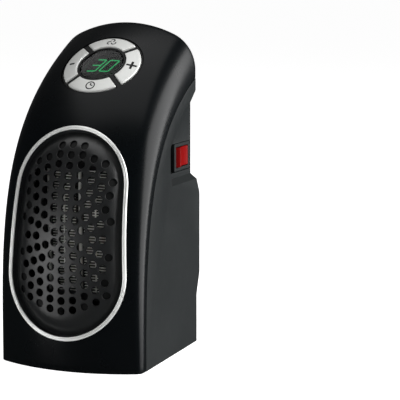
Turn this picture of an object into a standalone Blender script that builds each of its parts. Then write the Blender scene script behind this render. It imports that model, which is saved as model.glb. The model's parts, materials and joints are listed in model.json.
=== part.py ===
"""Plug-in fan heater: a moulded body on its base, with a keypad, a rocker switch and a turning wall plug.

Metres, +Z up and the front towards -Y. The origin is under the middle of the base. Right is +X.
"""

import math

import bmesh
import bpy
import numpy as np
from mathutils import Matrix, Vector

# Body
BODY_WIDTH = 0.0803
BODY_DEPTH = 0.0845
BODY_HEIGHT = 0.1745
WALL = 0.0022
GAP = 0.0003
WELD = GAP / 100
OVERRUN = 0.004
CUP_SIDES = 36
ROUND_SIDES = 24
SMALL_SIDES = 12
SMALLEST_TURN = math.radians(2)
SHARP_ANGLE = math.radians(35)
SEARCH_STEPS = 40

# Curves of the front shell: handles as shares of the depth in front of the back, and of the height
SEAM_FOOT_SETBACK = 0.0150
ARCH_RISE = 0.0293
SEAM_LOW_SHARES = (0.822, 0.410)
SEAM_HIGH_SHARES = (0.744, 0.686)
CROWN_LOW_SHARES = (1.014, 0.5255)
CROWN_HIGH_SHARES = (0.884, 0.800)
FOOT_CROWN_SHARE = 2.245
ARCH_CROWN_SHARE = 1.684
FOOT_CORNER_RADIUS = 0.0042
ARCH_CORNER_RADIUS = 0.0209
CORNER_RISE_SHARE = 0.95
CORNER_STEPS = 5
CROWN_STEPS = 7
SHELL_ROWS = 18
CUT_SLAB_ROWS = 9

# Back of the body
UPPER_BACK_INSET = 0.0014
BULGE_PROUD = 0.0043
BULGE_TOP_ROOM = 0.0024
BULGE_UPPER_SLOPE = 0.0107
BULGE_LOWER_HEIGHT = 0.0381
BULGE_LOWER_SLOPE = 0.0116
BULGE_CORNER_RADIUS = 0.0050
BULGE_CORNER_STEPS = 3

# Recess on the right side, its heights as drops, and the switch pocket in it
RECESS_DEPTH = 0.0031
RECESS_TOP_DROP = 0.0067
RECESS_BEND_DROP = 0.0170
RECESS_FRONT_DROP = 0.0267
RECESS_FOOT_DROP = 0.0440
RECESS_HEEL_DROP = 0.0040
RECESS_BEND_REACH = 0.0284
RECESS_FRONT_REACH = 0.0366
RECESS_HEEL_REACH = 0.0349
RECESS_SLOPE = 0.0066
RECESS_HEEL_SLOPE = 0.0030
POCKET_LENGTH = 0.0268
POCKET_BACK_WALL = 0.0009
POCKET_DEPTH = 0.0021
POCKET_WALL = 0.0015

# Rocker switch
SWITCH_DROP = 0.0345
SWITCH_FLANGE_LENGTH = 0.0210
SWITCH_FLANGE_HEIGHT = 0.0148
SWITCH_FLANGE_THICKNESS = 0.0018
SWITCH_BODY_LENGTH = 0.0190
SWITCH_BODY_HEIGHT = 0.0130
SWITCH_BODY_DEPTH = 0.0122
ROCKER_RADIUS = 0.0086
ROCKER_HEIGHT = 0.0104
ROCKER_PIVOT_DEPTH = 0.0034
ROCKER_TIP_RISE = 0.0046
ROCKER_DIP_RISE = 0.0034
ROCKER_KEEL = 0.0022
ROCKER_AXLE_RADIUS = 0.0009
ROCKER_REST_TILT = math.radians(7)
ROCKER_STEPS = 3
TERMINAL_LENGTH = 0.0050
TERMINAL_WIDTH = 0.0048
TERMINAL_THICKNESS = 0.0008
TERMINAL_SPACING = 0.0070

# Chrome ring and grille
RING_SIDE_ROOM = 0.0068
RING_TAPER = 0.0019
RING_FOOT_HEIGHT = 0.0159
RING_TOP_DROP = 0.0506
RING_BAND_RADIUS = 0.00145
RING_SINK = 0.0004
RING_ARC_STEPS = 14
RING_SIDE_STEPS = 5
GRILLE_DEPTH = 0.0027
GRILLE_RISE = 0.0032
GRILLE_RIM = 0.0042
GRILLE_SHOULDER = 0.0080
GRILLE_THICKNESS = 0.0016
GRILLE_LAP = 0.0012
GRILLE_LOW_SHARE = 0.04
GRILLE_HIGH_SHARE = 0.66
GRILLE_ROWS = 24
HOLE_RADIUS = 0.0020
HOLE_SIDES = 6
HOLE_COLUMN_PITCH = 0.0063
HOLE_PINCH = 0.00145
HOLE_PINCH_ROWS = 0.5
HOLE_PINCH_SPREAD = 0.62
HOLE_CENTRE_PITCH = 0.0052
HOLE_CENTRE_RISE = 0.0155
HOLE_CENTRE_TOP_ROOM = 0.0090
HOLE_FIRST_RISE = 0.0025
HOLE_ROW_PITCH = 0.0064
HOLE_ROW_TAPER = 0.00013
HOLE_COLUMN_RISE = 0.0035
HOLE_COLUMN_DIP = 0.0019
HOLE_DIP_ROWS = 4.4
HOLE_MIDDLE_DROP = 0.0013
HOLE_MIDDLE_PITCH = 0.0052
HOLE_MIDDLE_COLUMNS = (3, 4)
HOLE_FIELD_MARGIN = 0.0060
HOLE_ROWS_ABOVE = (9, 7, 6, 4, 1)
HOLE_ROWS_BELOW = (7, 6, 5, 4, 1)

# Control panel
PANEL_FROM_TOP = 0.0201
PANEL_RADIUS = 0.0221
PANEL_THICKNESS = 0.0034
PANEL_SINK = 0.0005
PANEL_LOW_SHARE = 0.60
PANEL_HIGH_SHARE = 0.96
KEY_INNER_RADIUS = 0.0134
KEY_OUTER_RADIUS = 0.0210
KEY_PROUD = 0.0003
KEY_THICKNESS = 0.0026
KEY_HALF_GAP = 0.0015
KEY_ARC_STEPS = 8
KEY_GAP = 0.0004
KEY_TRAVEL = 0.0008
KEY_STEM_RADIUS = 0.0015
KEY_STEM_END = 0.0072
WINDOW_RADIUS = 0.0117
WINDOW_THICKNESS = 0.0014
BOARD_RADIUS = 0.0200
BOARD_THICKNESS = 0.0016
BOARD_DROP = 0.0130
SWITCH_CELL_SIDE = 0.0060
SWITCH_CELL_HEIGHT = 0.0024
SWITCH_PLUNGER_RADIUS = 0.0015
DISPLAY_WIDTH = 0.0176
DISPLAY_LENGTH = 0.0120
DISPLAY_HEIGHT = 0.0074
LEG_RADIUS = 0.0011

# Back cover's fittings
CUP_DROP = 0.0282
CUP_RADIUS = 0.0214
CUP_WALL = 0.0016
CUP_FLOOR_DEPTH = 0.0053
CUP_FLOOR_THICKNESS = 0.0018
SLOT_COUNT = 8
SLOT_WIDTH = 0.0050
SLOT_PITCH = 0.0070
SLOT_FOOT_HEIGHT = 0.0016
SLOT_TOP_HEIGHT = 0.0155
SLOT_CORNER_STEPS = 2
NOTCH_INNER_REACH = 0.0228
NOTCH_DEPTH = 0.0070
NOTCH_HEIGHT = 0.0218
NOTCH_RISE = 0.0024
NOTCH_CORNER_RADIUS = 0.0045
NOTCH_CORNER_STEPS = 3
NOTCH_WALL = 0.0014
UPPER_SCREW_SIDE_ROOM = 0.00595
UPPER_SCREW_DROP = 0.0042
LOWER_SCREW_SIDE_ROOM = 0.00665
LOWER_SCREW_RISE = 0.0043
SCREW_HEAD_RADIUS = 0.0028
SCREW_HEAD_HEIGHT = 0.0017
SCREW_CROWN_SHARE = 0.7
SCREW_CROWN_DROP_SHARE = 0.2
SCREW_SHANK_RADIUS = 0.0013
SCREW_LENGTH = 0.0130
UPPER_SCREW_SINK = 0.0010
LOWER_SCREW_SINK = 0.0090
BOSS_WALL = 0.0011

# Plug
PLUG_RADIUS = 0.0177
PLUG_PROUD = 0.02025
PLUG_EDGE = 0.0008
FLANGE_DEPTH = 0.0026
FLANGE_THICKNESS = 0.0024
NECK_RADIUS = 0.0138
RETAINER_RADIUS = 0.0170
RETAINER_THICKNESS = 0.0015
PIN_SPACING = 0.0190
PIN_RADIUS = 0.0024
PIN_LENGTH = 0.0190
PIN_TIP_BEVEL = 0.0009
PIN_SIDES = 16
COLLAR_RADIUS = 0.0039
COLLAR_PROUD = 0.0007
COLLAR_SINK = 0.0015
KEYHOLE_REACH = 0.0098
KEYHOLE_RADIUS = 0.0030
KEYHOLE_SLOT_WIDTH = 0.0034
KEYHOLE_DEPTH = 0.0110
RIB_LENGTH = 0.0100
RIB_PROUD = 0.0010
RIB_THICKNESS = 0.0016
RIB_PITCH = 0.0034
SLIP_RING_WIDTH = 0.0020
SLIP_RING_THICKNESS = 0.0008
OUTER_RING_RADIUS = 0.0120
INNER_RING_RADIUS = 0.0080

# Release button
BUTTON_OUTER_ROOM = 0.00455
BUTTON_END_ROOM = 0.0010
BUTTON_SIDE_GAP = 0.0018
BUTTON_SINK = 0.0003
BUTTON_CORNER_RADIUS = 0.0036
BUTTON_CORNER_STEPS = 4
BUTTON_FOOT_WIDTH = 0.0045
BUTTON_FOOT_HEIGHT = 0.0080
BUTTON_PLATE_WIDTH = 0.0076
BUTTON_PLATE_HEIGHT = 0.0120
BUTTON_PLATE_THICKNESS = 0.0018
BUTTON_TAB_THICKNESS = 0.0014
BUTTON_TAB_DROP = 0.0046
BUTTON_TRAVEL = 0.0014
SPRING_RADIUS = 0.0017
SPRING_WIRE_RADIUS = 0.0003
SPRING_TURNS = 5
SPRING_TURN_POINTS = 8

# Fan
FAN_TOP_ROOM = 0.0017
FAN_SIDE_ROOM = 0.00615
FAN_CLEARANCE = 0.0010
SHROUD_WALL = 0.0018
SHROUD_LENGTH = 0.0145
SHROUD_PLATE_THICKNESS = 0.0020
SHROUD_PLATE_LAP = 0.0010
ARM_WIDTH = 0.0050
ARM_THICKNESS = 0.0018
ARM_COUNT = 3
HUB_RADIUS = 0.0110
HUB_LENGTH = 0.0090
HUB_SETBACK = 0.0020
BLADE_COUNT = 7
BLADE_CHORD = 0.0125
BLADE_THICKNESS = 0.0011
BLADE_PITCH = math.radians(35)
BLADE_ROOT_SHARE = 0.8
MOTOR_RADIUS = 0.0140
MOTOR_END_ROOM = 0.0055
MOTOR_NOSE_RADIUS = 0.0040
MOTOR_NOSE_LENGTH = 0.0012
MOTOR_CUP_LENGTH = 0.0080
SHAFT_RADIUS = 0.0012
SHAFT_BEARING_LENGTH = 0.0060

# Heater core
CORE_DROP = 0.0009
CORE_WIDTH = 0.0400
CORE_END_ROOM = 0.0210
CORE_THICKNESS = 0.0140
CORE_FRONT_ROOM = 0.00147
FRAME_WALL = 0.0030
FRAME_LIP = 0.0010
BAR_PLACES = (-1, 0, 1)
FRAME_FLANGE_THICKNESS = 0.0020
FRAME_FLANGE_END_ROOM = 0.0090
BAR_WIDTH = 0.0042
FIN_COUNT = 47
FIN_THICKNESS = 0.0005
FIN_SPINE = 0.0010
DUCT_WALL = 0.0014
DUCT_STEPS = 32
DUCT_LENGTH_SHARE = 0.159
CUTOUT_RADIUS = 0.0060
CUTOUT_THICKNESS = 0.0040

# Power board behind the control panel
POWER_BOARD_SETBACK = 0.0222
POWER_BOARD_WIDTH = 0.0480
POWER_BOARD_DROP = 0.0195
POWER_BOARD_RISE = 0.0200
POST_RADIUS = 0.0022
POST_REACH = 0.0140
POST_INSET = 0.0030
RELAY_SIZE = (0.0150, 0.0150, 0.0170)
RELAY_PLACE_SHARES = (-0.10, 0.42)
CAPACITOR_SIZE = (0.0130, 0.0120, 0.0060)
CAPACITOR_PLACE_SHARES = (0.22, 0.62)
BLADE_CONTACT_WIDTH = 0.0030
BLADE_CONTACT_THICKNESS = 0.0008
LEAD_RADIUS = 0.0008
LEAD_POINTS = 8
LIVE_LEAD_SHARE = 0.22
NEUTRAL_LEAD_SHARE = 0.40
SWITCH_LEAD_SHARE = 0.30
HEATER_LEAD_SHARE = 0.35
MOTOR_LEAD_SHARE = 0.06
MOTOR_TAIL_ROOM = 0.0020
MOTOR_LEAD_BOW = 0.0060

# Worked-out planes and reaches
HALF_WIDTH = BODY_WIDTH / 2
BACK_Y = BODY_DEPTH / 2
UPPER_BACK_Y = BACK_Y - UPPER_BACK_INSET
BULGE_Y = BACK_Y + BULGE_PROUD
INNER_X = HALF_WIDTH - WALL
COVER_X = INNER_X - GAP
RECESS_X = HALF_WIDTH - RECESS_DEPTH
POCKET_X = RECESS_X - POCKET_DEPTH
PLUG_FACE_Y = UPPER_BACK_Y + PLUG_PROUD
CUP_FLOOR_Y = UPPER_BACK_Y - CUP_FLOOR_DEPTH
CUP_END_Y = CUP_FLOOR_Y - CUP_FLOOR_THICKNESS
RETAINER_Y = CUP_END_Y - GAP
POWER_BOARD_Y = UPPER_BACK_Y - POWER_BOARD_SETBACK
NOTCH_FLOOR_Y = UPPER_BACK_Y - NOTCH_DEPTH
UPPER_SCREW_REACH = COVER_X - UPPER_SCREW_SIDE_ROOM
LOWER_SCREW_REACH = COVER_X - LOWER_SCREW_SIDE_ROOM

# Worked-out heights, from the arch down
SEAM_TOP_HEIGHT = BODY_HEIGHT - ARCH_RISE
UPPER_SCREW_HEIGHT = SEAM_TOP_HEIGHT - UPPER_SCREW_DROP
RECESS_TOP_HEIGHT = SEAM_TOP_HEIGHT - RECESS_TOP_DROP
RECESS_BEND_HEIGHT = RECESS_TOP_HEIGHT - RECESS_BEND_DROP
RECESS_FRONT_HEIGHT = RECESS_TOP_HEIGHT - RECESS_FRONT_DROP
RECESS_FOOT_HEIGHT = RECESS_TOP_HEIGHT - RECESS_FOOT_DROP
RECESS_HEEL_HEIGHT = RECESS_FOOT_HEIGHT - RECESS_HEEL_DROP
SWITCH_HEIGHT = RECESS_TOP_HEIGHT - SWITCH_DROP
CUP_HEIGHT = SEAM_TOP_HEIGHT - CUP_DROP
NOTCH_CENTRE_HEIGHT = CUP_HEIGHT + NOTCH_RISE
POWER_BOARD_FOOT = CUP_HEIGHT - POWER_BOARD_DROP
POWER_BOARD_TOP = CUP_HEIGHT + POWER_BOARD_RISE
BULGE_TOP_HEIGHT = CUP_HEIGHT - CUP_RADIUS - BULGE_TOP_ROOM
BULGE_UPPER_HEIGHT = BULGE_TOP_HEIGHT - BULGE_UPPER_SLOPE
BULGE_FOOT_HEIGHT = BULGE_LOWER_HEIGHT - BULGE_LOWER_SLOPE
LOWER_SCREW_HEIGHT = BULGE_LOWER_HEIGHT + LOWER_SCREW_RISE
RING_TOP_HEIGHT = BODY_HEIGHT - RING_TOP_DROP
RING_HALF_WIDTH = HALF_WIDTH - RING_SIDE_ROOM
RING_TOP_HALF_WIDTH = RING_HALF_WIDTH - RING_TAPER
RING_HALF_HEIGHT = (RING_TOP_HEIGHT - RING_FOOT_HEIGHT) / 2
RING_HEIGHT = RING_FOOT_HEIGHT + RING_HALF_HEIGHT
RING_LOW_CENTRE = RING_FOOT_HEIGHT + RING_HALF_WIDTH
RING_HIGH_CENTRE = RING_TOP_HEIGHT - RING_TOP_HALF_WIDTH
RING_LEAN = math.asin(RING_TAPER / (RING_HIGH_CENTRE - RING_LOW_CENTRE))
HOLE_MIDDLE_HEIGHT = RING_HEIGHT - HOLE_MIDDLE_DROP
HOLE_CENTRE_FOOT = RING_FOOT_HEIGHT + HOLE_CENTRE_RISE
HOLE_CENTRE_REACH = RING_TOP_HEIGHT - HOLE_CENTRE_TOP_ROOM - HOLE_CENTRE_FOOT
HOLE_CENTRE_COUNT = 1 + int(HOLE_CENTRE_REACH / HOLE_CENTRE_PITCH)
FAN_RADIUS = INNER_X - FAN_SIDE_ROOM - SHROUD_WALL - FAN_CLEARANCE
FAN_HEIGHT = POWER_BOARD_FOOT - FAN_TOP_ROOM - SHROUD_WALL - FAN_CLEARANCE - FAN_RADIUS
CORE_HEIGHT = RING_HEIGHT - CORE_DROP
CORE_LENGTH = 2 * (RING_HALF_HEIGHT - CORE_END_ROOM)
PLUG_CENTRE = Vector((0, 0, CUP_HEIGHT))
FAN_CENTRE = Vector((0, 0, FAN_HEIGHT))

# Worked-out places of the release button
BUTTON_WIDTH = COVER_X - NOTCH_INNER_REACH - BUTTON_SIDE_GAP - BUTTON_OUTER_ROOM
BUTTON_HEIGHT = NOTCH_HEIGHT - 2 * BUTTON_END_ROOM
BUTTON_CENTRE_X = -(NOTCH_INNER_REACH + BUTTON_SIDE_GAP + BUTTON_WIDTH / 2)
PLATE_BACK_Y = NOTCH_FLOOR_Y - NOTCH_WALL - GAP
PLATE_FRONT_Y = PLATE_BACK_Y - BUTTON_PLATE_THICKNESS
TAB_END_Y = PLATE_FRONT_Y - BUTTON_TAB_DROP
SEAT_X = BUTTON_CENTRE_X + BUTTON_PLATE_WIDTH / 2 + BUTTON_TRAVEL + GAP


def clear_scene():
    for thing in list(bpy.data.objects):
        bpy.data.objects.remove(thing, do_unlink=True)
    for name in ("plug_in_fan_heater", "cutters"):
        collection = bpy.data.collections.new(name)
        bpy.context.scene.collection.children.link(collection)
    return bpy.data.collections["plug_in_fan_heater"], bpy.data.collections["cutters"]


PARTS, CUTTERS = clear_scene()


def plastic(name, colour, roughness, metallic=0.0):
    material = bpy.data.materials.new(name)
    material.use_nodes = True
    shader = material.node_tree.nodes["Principled BSDF"]
    shader.inputs["Base Color"].default_value = (*colour, 1.0)
    shader.inputs["Roughness"].default_value = roughness
    shader.inputs["Metallic"].default_value = metallic
    material.diffuse_color = (*colour, 1.0)
    return material


SHELL_BLACK = plastic("shell_black", (0.012, 0.013, 0.015), 0.32)
HOUSING_GREY = plastic("housing_grey", (0.036, 0.042, 0.044), 0.45)
GRILLE_BLACK = plastic("grille_black", (0.010, 0.010, 0.011), 0.40)
INNER_PLASTIC = plastic("inner_plastic", (0.030, 0.030, 0.032), 0.60)
CHROME = plastic("chrome", (0.80, 0.81, 0.83), 0.12, 1.0)
KEY_SILVER = plastic("key_silver", (0.62, 0.63, 0.63), 0.35, 0.7)
WINDOW_SMOKE = plastic("window_smoke", (0.015, 0.016, 0.016), 0.10)
ROCKER_RED = plastic("rocker_red", (0.55, 0.010, 0.008), 0.25)
PIN_NICKEL = plastic("pin_nickel", (0.72, 0.68, 0.58), 0.20, 1.0)
COLLAR_WHITE = plastic("collar_white", (0.78, 0.78, 0.76), 0.40)
STEEL = plastic("steel", (0.56, 0.57, 0.58), 0.25, 1.0)
ALUMINIUM = plastic("aluminium", (0.75, 0.75, 0.74), 0.40, 1.0)
BRASS = plastic("brass", (0.70, 0.52, 0.22), 0.30, 1.0)
BOARD_GREEN = plastic("board_green", (0.02, 0.13, 0.06), 0.45)
COMPONENT_BLUE = plastic("component_blue", (0.03, 0.08, 0.25), 0.40)
FRAME_CREAM = plastic("frame_cream", (0.62, 0.58, 0.48), 0.60)
LEAD_WHITE = plastic("lead_white", (0.70, 0.70, 0.68), 0.50)


def in_scene(name, mesh, material):
    """A part when it has a material, and otherwise a helper for cuts and joins."""
    thing = bpy.data.objects.new(name, mesh)
    if material is None:
        thing.hide_render = True
        thing.display_type = "WIRE"
        CUTTERS.objects.link(thing)
    else:
        mesh.materials.append(material)
        PARTS.objects.link(thing)
    return thing


def from_bmesh(name, form, material):
    mesh = bpy.data.meshes.new(name)
    form.to_mesh(mesh)
    form.free()
    return in_scene(name, mesh, material)


def shade_round(thing):
    thing.data.shade_smooth()
    thing.data.set_sharp_from_angle(angle=SHARP_ANGLE)
    return thing


def box(name, low, high, material=None, turn=None):
    """A box between two corners, turned about its middle when turn is given."""
    low, high = Vector(low), Vector(high)
    form = bmesh.new()
    bmesh.ops.create_cube(form, size=1)
    size = Matrix.Diagonal((*(high - low), 1))
    place = Matrix.Translation((low + high) / 2)
    bmesh.ops.transform(form, matrix=place @ (turn or Matrix()) @ size, verts=form.verts)
    return from_bmesh(name, form, material)


def rod(name, start, end, radius, material=None, sides=ROUND_SIDES, end_radius=None):
    """A cylinder or a cone between two points."""
    start, end = Vector(start), Vector(end)
    form = bmesh.new()
    bmesh.ops.create_cone(
        form,
        cap_ends=True,
        segments=sides,
        radius1=radius,
        radius2=radius if end_radius is None else end_radius,
        depth=(end - start).length,
    )
    turn = (end - start).to_track_quat("Z", "Y").to_matrix().to_4x4()
    place = Matrix.Translation((start + end) / 2)
    bmesh.ops.transform(form, matrix=place @ turn, verts=form.verts)
    return shade_round(from_bmesh(name, form, material))


def y_rod(name, centre, low_y, high_y, radius, material=None, sides=ROUND_SIDES):
    """A cylinder along Y round the X and Z of centre."""
    start = (centre[0], low_y, centre[2])
    end = (centre[0], high_y, centre[2])
    return rod(name, start, end, radius, material, sides)


def axes(across, up, origin=(0, 0, 0)):
    across, up = Vector(across), Vector(up)
    out = across.cross(up)
    return Matrix.Translation(Vector(origin)) @ Matrix((across, up, out)).transposed().to_4x4()


PLAN = axes((1, 0, 0), (0, 1, 0))
ELEVATION = axes((-1, 0, 0), (0, 0, 1))
PROFILE = axes((0, 1, 0), (0, 0, 1))


def prism(name, outlines, plane, low, high, material=None):
    """Flat outlines, the others holes in the first, extruded from low to high along the plane's normal."""
    curve = bpy.data.curves.new(name, "CURVE")
    curve.dimensions = "2D"
    curve.fill_mode = "BOTH"
    curve.extrude = (high - low) / 2
    for outline in outlines:
        spline = curve.splines.new("POLY")
        spline.points.add(len(outline) - 1)
        for point, (u, v) in zip(spline.points, outline):
            point.co = (u, v, 0, 1)
        spline.use_cyclic_u = True
    guide = bpy.data.objects.new(name, curve)
    bpy.context.scene.collection.objects.link(guide)
    guide.matrix_world = plane @ Matrix.Translation((0, 0, (low + high) / 2))
    bpy.context.view_layer.update()
    graph = bpy.context.evaluated_depsgraph_get()
    mesh = bpy.data.meshes.new_from_object(guide.evaluated_get(graph))
    form = bmesh.new()
    form.from_mesh(mesh)
    bmesh.ops.remove_doubles(form, verts=form.verts, dist=WELD)
    bmesh.ops.transform(form, matrix=guide.matrix_world, verts=form.verts)
    bmesh.ops.recalc_face_normals(form, faces=form.faces)
    bpy.data.objects.remove(guide)
    bpy.data.curves.remove(curve)
    bpy.data.meshes.remove(mesh)
    return from_bmesh(name, form, material)


def front_prism(name, outlines, low_y, high_y, material=None):
    """Outlines in X and Z, extruded between two values of Y."""
    turned = [[(-x, z) for x, z in outline] for outline in outlines]
    return prism(name, turned, ELEVATION, low_y, high_y, material)


def tube(name, points, radius, material, sides_level=1):
    curve = bpy.data.curves.new(name, "CURVE")
    curve.dimensions = "3D"
    curve.bevel_depth = radius
    curve.bevel_resolution = sides_level
    curve.use_fill_caps = True
    spline = curve.splines.new("POLY")
    spline.points.add(len(points) - 1)
    for point, place in zip(spline.points, points):
        point.co = (*place, 1)
    curve.materials.append(material)
    thing = bpy.data.objects.new(name, curve)
    PARTS.objects.link(thing)
    return thing


def boolean(target, tool, operation):
    modifier = target.modifiers.new(f"{operation.lower()} {tool.name}", "BOOLEAN")
    modifier.object = tool
    modifier.operation = operation
    modifier.solver = "EXACT"
    return target


def cut(target, *tools):
    for tool in tools:
        boolean(target, tool, "DIFFERENCE")
    return target


def join(target, *tools):
    for tool in tools:
        boolean(target, tool, "UNION")
    return target


def keep_inside(target, tool):
    return boolean(target, tool, "INTERSECT")


def pivot(name, place):
    """An empty on a joint's axis, for the moving pieces to hang from."""
    empty = bpy.data.objects.new(name, None)
    empty.location = place
    empty.empty_display_size = GAP
    PARTS.objects.link(empty)
    return empty


def carry(empty, *things):
    for thing in things:
        thing.parent = empty
        thing.matrix_parent_inverse = Matrix.Translation(empty.location).inverted()


def rounded(corners, radii, steps):
    """A closed outline whose corners are arcs of the given radii."""
    outline = []
    count = len(corners)
    for i, radius in enumerate(radii):
        here = Vector(corners[i])
        before = (Vector(corners[i - 1]) - here).normalized()
        after = (Vector(corners[(i + 1) % count]) - here).normalized()
        half = before.angle(after) / 2
        if not radius or half > math.pi / 2 - SMALLEST_TURN:
            outline.append(tuple(here))
            continue
        centre = here + (before + after).normalized() * (radius / math.sin(half))
        start = here + before * (radius / math.tan(half)) - centre
        end = here + after * (radius / math.tan(half)) - centre
        sweep = start.angle_signed(end)
        for k in range(steps + 1):
            turned = Matrix.Rotation(-sweep * k / steps, 2) @ start
            outline.append(tuple(centre + turned))
    return outline


def rounded_box(low, high, radius, steps=3):
    corners = [low, (high[0], low[1]), high, (low[0], high[1])]
    return rounded(corners, [radius] * 4, steps)


def ring_line(grow, side_steps=1):
    """X and Z round the ring, grown outwards: a wide round foot, a narrower round top and leaning sides."""
    low_radius = RING_HALF_WIDTH + grow
    high_radius = RING_TOP_HALF_WIDTH + grow
    high_sweep = math.pi - 2 * RING_LEAN
    low_sweep = math.pi + 2 * RING_LEAN
    outline = []
    for k in range(RING_ARC_STEPS + 1):
        angle = RING_LEAN + high_sweep * k / RING_ARC_STEPS
        outline.append((high_radius * math.cos(angle), RING_HIGH_CENTRE + high_radius * math.sin(angle)))
    arc = []
    for k in range(RING_ARC_STEPS + 1):
        angle = math.pi - RING_LEAN + low_sweep * k / RING_ARC_STEPS
        arc.append((low_radius * math.cos(angle), RING_LOW_CENTRE + low_radius * math.sin(angle)))
    left = side_points(outline[-1], arc[0], side_steps)
    right = side_points(arc[-1], outline[0], side_steps)
    return outline + left + arc + right


def side_points(start, end, steps):
    """The points between two ends of a straight side."""
    shares = [k / steps for k in range(1, steps)]
    return [(start[0] + (end[0] - start[0]) * s, start[1] + (end[1] - start[1]) * s) for s in shares]


def ring_room(x, z):
    """How far inside the ring's outer edge a place lies."""
    across = abs(x)
    up = z - RING_LOW_CENTRE
    length = RING_HIGH_CENTRE - RING_LOW_CENTRE
    along = up * math.cos(RING_LEAN) - across * math.sin(RING_LEAN)
    if along < 0:
        return RING_HALF_WIDTH - math.hypot(across, up)
    if along > length * math.cos(RING_LEAN):
        return RING_TOP_HALF_WIDTH - math.hypot(across, up - length)
    return RING_HALF_WIDTH - across * math.cos(RING_LEAN) - up * math.sin(RING_LEAN)


def bezier(points, t):
    weights = ((1 - t) ** 3, 3 * (1 - t) ** 2 * t, 3 * (1 - t) * t**2, t**3)
    return sum((Vector(p) * w for p, w in zip(points, weights)), Vector((0, 0)))


def share_point(shares):
    return (BACK_Y - shares[0] * BODY_DEPTH, shares[1] * BODY_HEIGHT)


def seam_point(t):
    """Y and Z of the front shell's side edge, from the floor to the back."""
    foot = (SEAM_FOOT_SETBACK - BACK_Y, 0)
    top = (UPPER_BACK_Y, SEAM_TOP_HEIGHT)
    return bezier((foot, share_point(SEAM_LOW_SHARES), share_point(SEAM_HIGH_SHARES), top), t)


def crown_point(t):
    """Y and Z of the front shell's middle line, from the floor to the back."""
    foot = (-BACK_Y, 0)
    top = (UPPER_BACK_Y, BODY_HEIGHT)
    return bezier((foot, share_point(CROWN_LOW_SHARES), share_point(CROWN_HIGH_SHARES), top), t)


def section_sizes(t, inset=0.0):
    """Half width, rise, crown radius and corner radius of the section at t."""
    rise = (crown_point(t) - seam_point(t)).length
    crown = HALF_WIDTH * (FOOT_CROWN_SHARE * (1 - t) + ARCH_CROWN_SHARE * t)
    corner = FOOT_CORNER_RADIUS * (1 - t) + ARCH_CORNER_RADIUS * t
    corner = min(corner, CORNER_RISE_SHARE * rise)
    return HALF_WIDTH - inset, rise - inset, crown - inset, corner - inset


def section_outline(t, inset=0.0):
    """Across and up from the seam, from the left seam over the crown to the right seam."""
    half, rise, crown, corner = section_sizes(t, inset)
    crown_centre = rise - crown
    corner_x = half - corner
    corner_y = crown_centre + math.sqrt((crown - corner) ** 2 - corner_x**2)
    turn = math.atan2(corner_y - crown_centre, corner_x)
    right = [(half, 0.0)]
    for k in range(CORNER_STEPS + 1):
        angle = turn * k / CORNER_STEPS
        right.append((corner_x + corner * math.cos(angle), corner_y + corner * math.sin(angle)))
    for k in range(1, CROWN_STEPS + 1):
        angle = turn + (math.pi / 2 - turn) * k / CROWN_STEPS
        right.append((crown * math.cos(angle), crown_centre + crown * math.sin(angle)))
    left = [(-x, y) for x, y in right[:-1]]
    return left + right[::-1]


def section_height(t, x):
    """Height over the seam of the section at t, at the given distance from the middle."""
    half, rise, crown, corner = section_sizes(t)
    crown_centre = rise - crown
    corner_x = half - corner
    corner_y = crown_centre + math.sqrt((crown - corner) ** 2 - corner_x**2)
    turn = math.atan2(corner_y - crown_centre, corner_x)
    if abs(x) <= crown * math.cos(turn):
        return crown_centre + math.sqrt(crown**2 - x**2)
    return corner_y + math.sqrt(max(corner**2 - (abs(x) - corner_x) ** 2, 0))


def front_grid(low, high, rows):
    """Rows of points on the body's front surface between two shares of its middle line."""
    grid = []
    for k in range(rows + 1):
        t = low + (high - low) * k / rows
        seam = seam_point(t)
        up = (crown_point(t) - seam).normalized()
        row = [(x, seam.x + up.x * h, seam.y + up.y * h) for x, h in section_outline(t)]
        grid.append(row)
    return np.array(grid)


def outward(grid):
    normals = np.cross(np.gradient(grid, axis=1), np.gradient(grid, axis=0))
    normals /= np.linalg.norm(normals, axis=2, keepdims=True)
    inside = np.array((0, BACK_Y / 2, BODY_HEIGHT / 3))
    if ((grid - inside) * normals).sum() < 0:
        normals = -normals
    return normals


def sunk(grid, depth, flat_foot, flat_back):
    """The grid moved in by a depth at each point, its first row kept on the floor, its last in the back plane."""
    normals = outward(grid)
    steps = -depth[..., None] * normals
    for row, axis, flat in ((0, 2, flat_foot), (-1, 1, flat_back)):
        if flat:
            flattened = normals[row].copy()
            flattened[:, axis] = 0
            steps[row] = -depth[row][:, None] * flattened / (flattened**2).sum(axis=1, keepdims=True)
    return grid + steps


def level(x, z):
    """No rise anywhere."""
    return 0.0


def front_slab(name, outer_depth, inner_depth, material=None, low=0.0, high=1.0, rows=SHELL_ROWS, rise=level):
    """A curved wall between two depths below the body's front surface, raised by rise at each X and Z."""
    grid = front_grid(low, high, rows)
    flat = (low == 0, high == 1)
    raised = np.array([[rise(x, z) for x, _, z in row] for row in grid])
    outer = sunk(grid, outer_depth - raised, *flat)
    inner = sunk(grid, inner_depth - raised, *flat)
    count, width = grid.shape[:2]
    form = bmesh.new()
    skins = []
    for skin in (outer, inner):
        skins.append([[form.verts.new(point) for point in row] for row in skin])
    for i in range(count - 1):
        for j in range(width - 1):
            for skin in skins:
                form.faces.new((skin[i][j], skin[i][j + 1], skin[i + 1][j + 1], skin[i + 1][j]))
    rim = [(0, j) for j in range(width)] + [(i, width - 1) for i in range(1, count)]
    rim += [(count - 1, j) for j in range(width - 2, -1, -1)] + [(i, 0) for i in range(count - 2, 0, -1)]
    for here, there in zip(rim, rim[1:] + rim[:1]):
        corners = [skins[0][here[0]][here[1]], skins[0][there[0]][there[1]]]
        corners += [skins[1][there[0]][there[1]], skins[1][here[0]][here[1]]]
        form.faces.new(corners)
    bmesh.ops.recalc_face_normals(form, faces=form.faces)
    return shade_round(from_bmesh(name, form, material))


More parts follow.
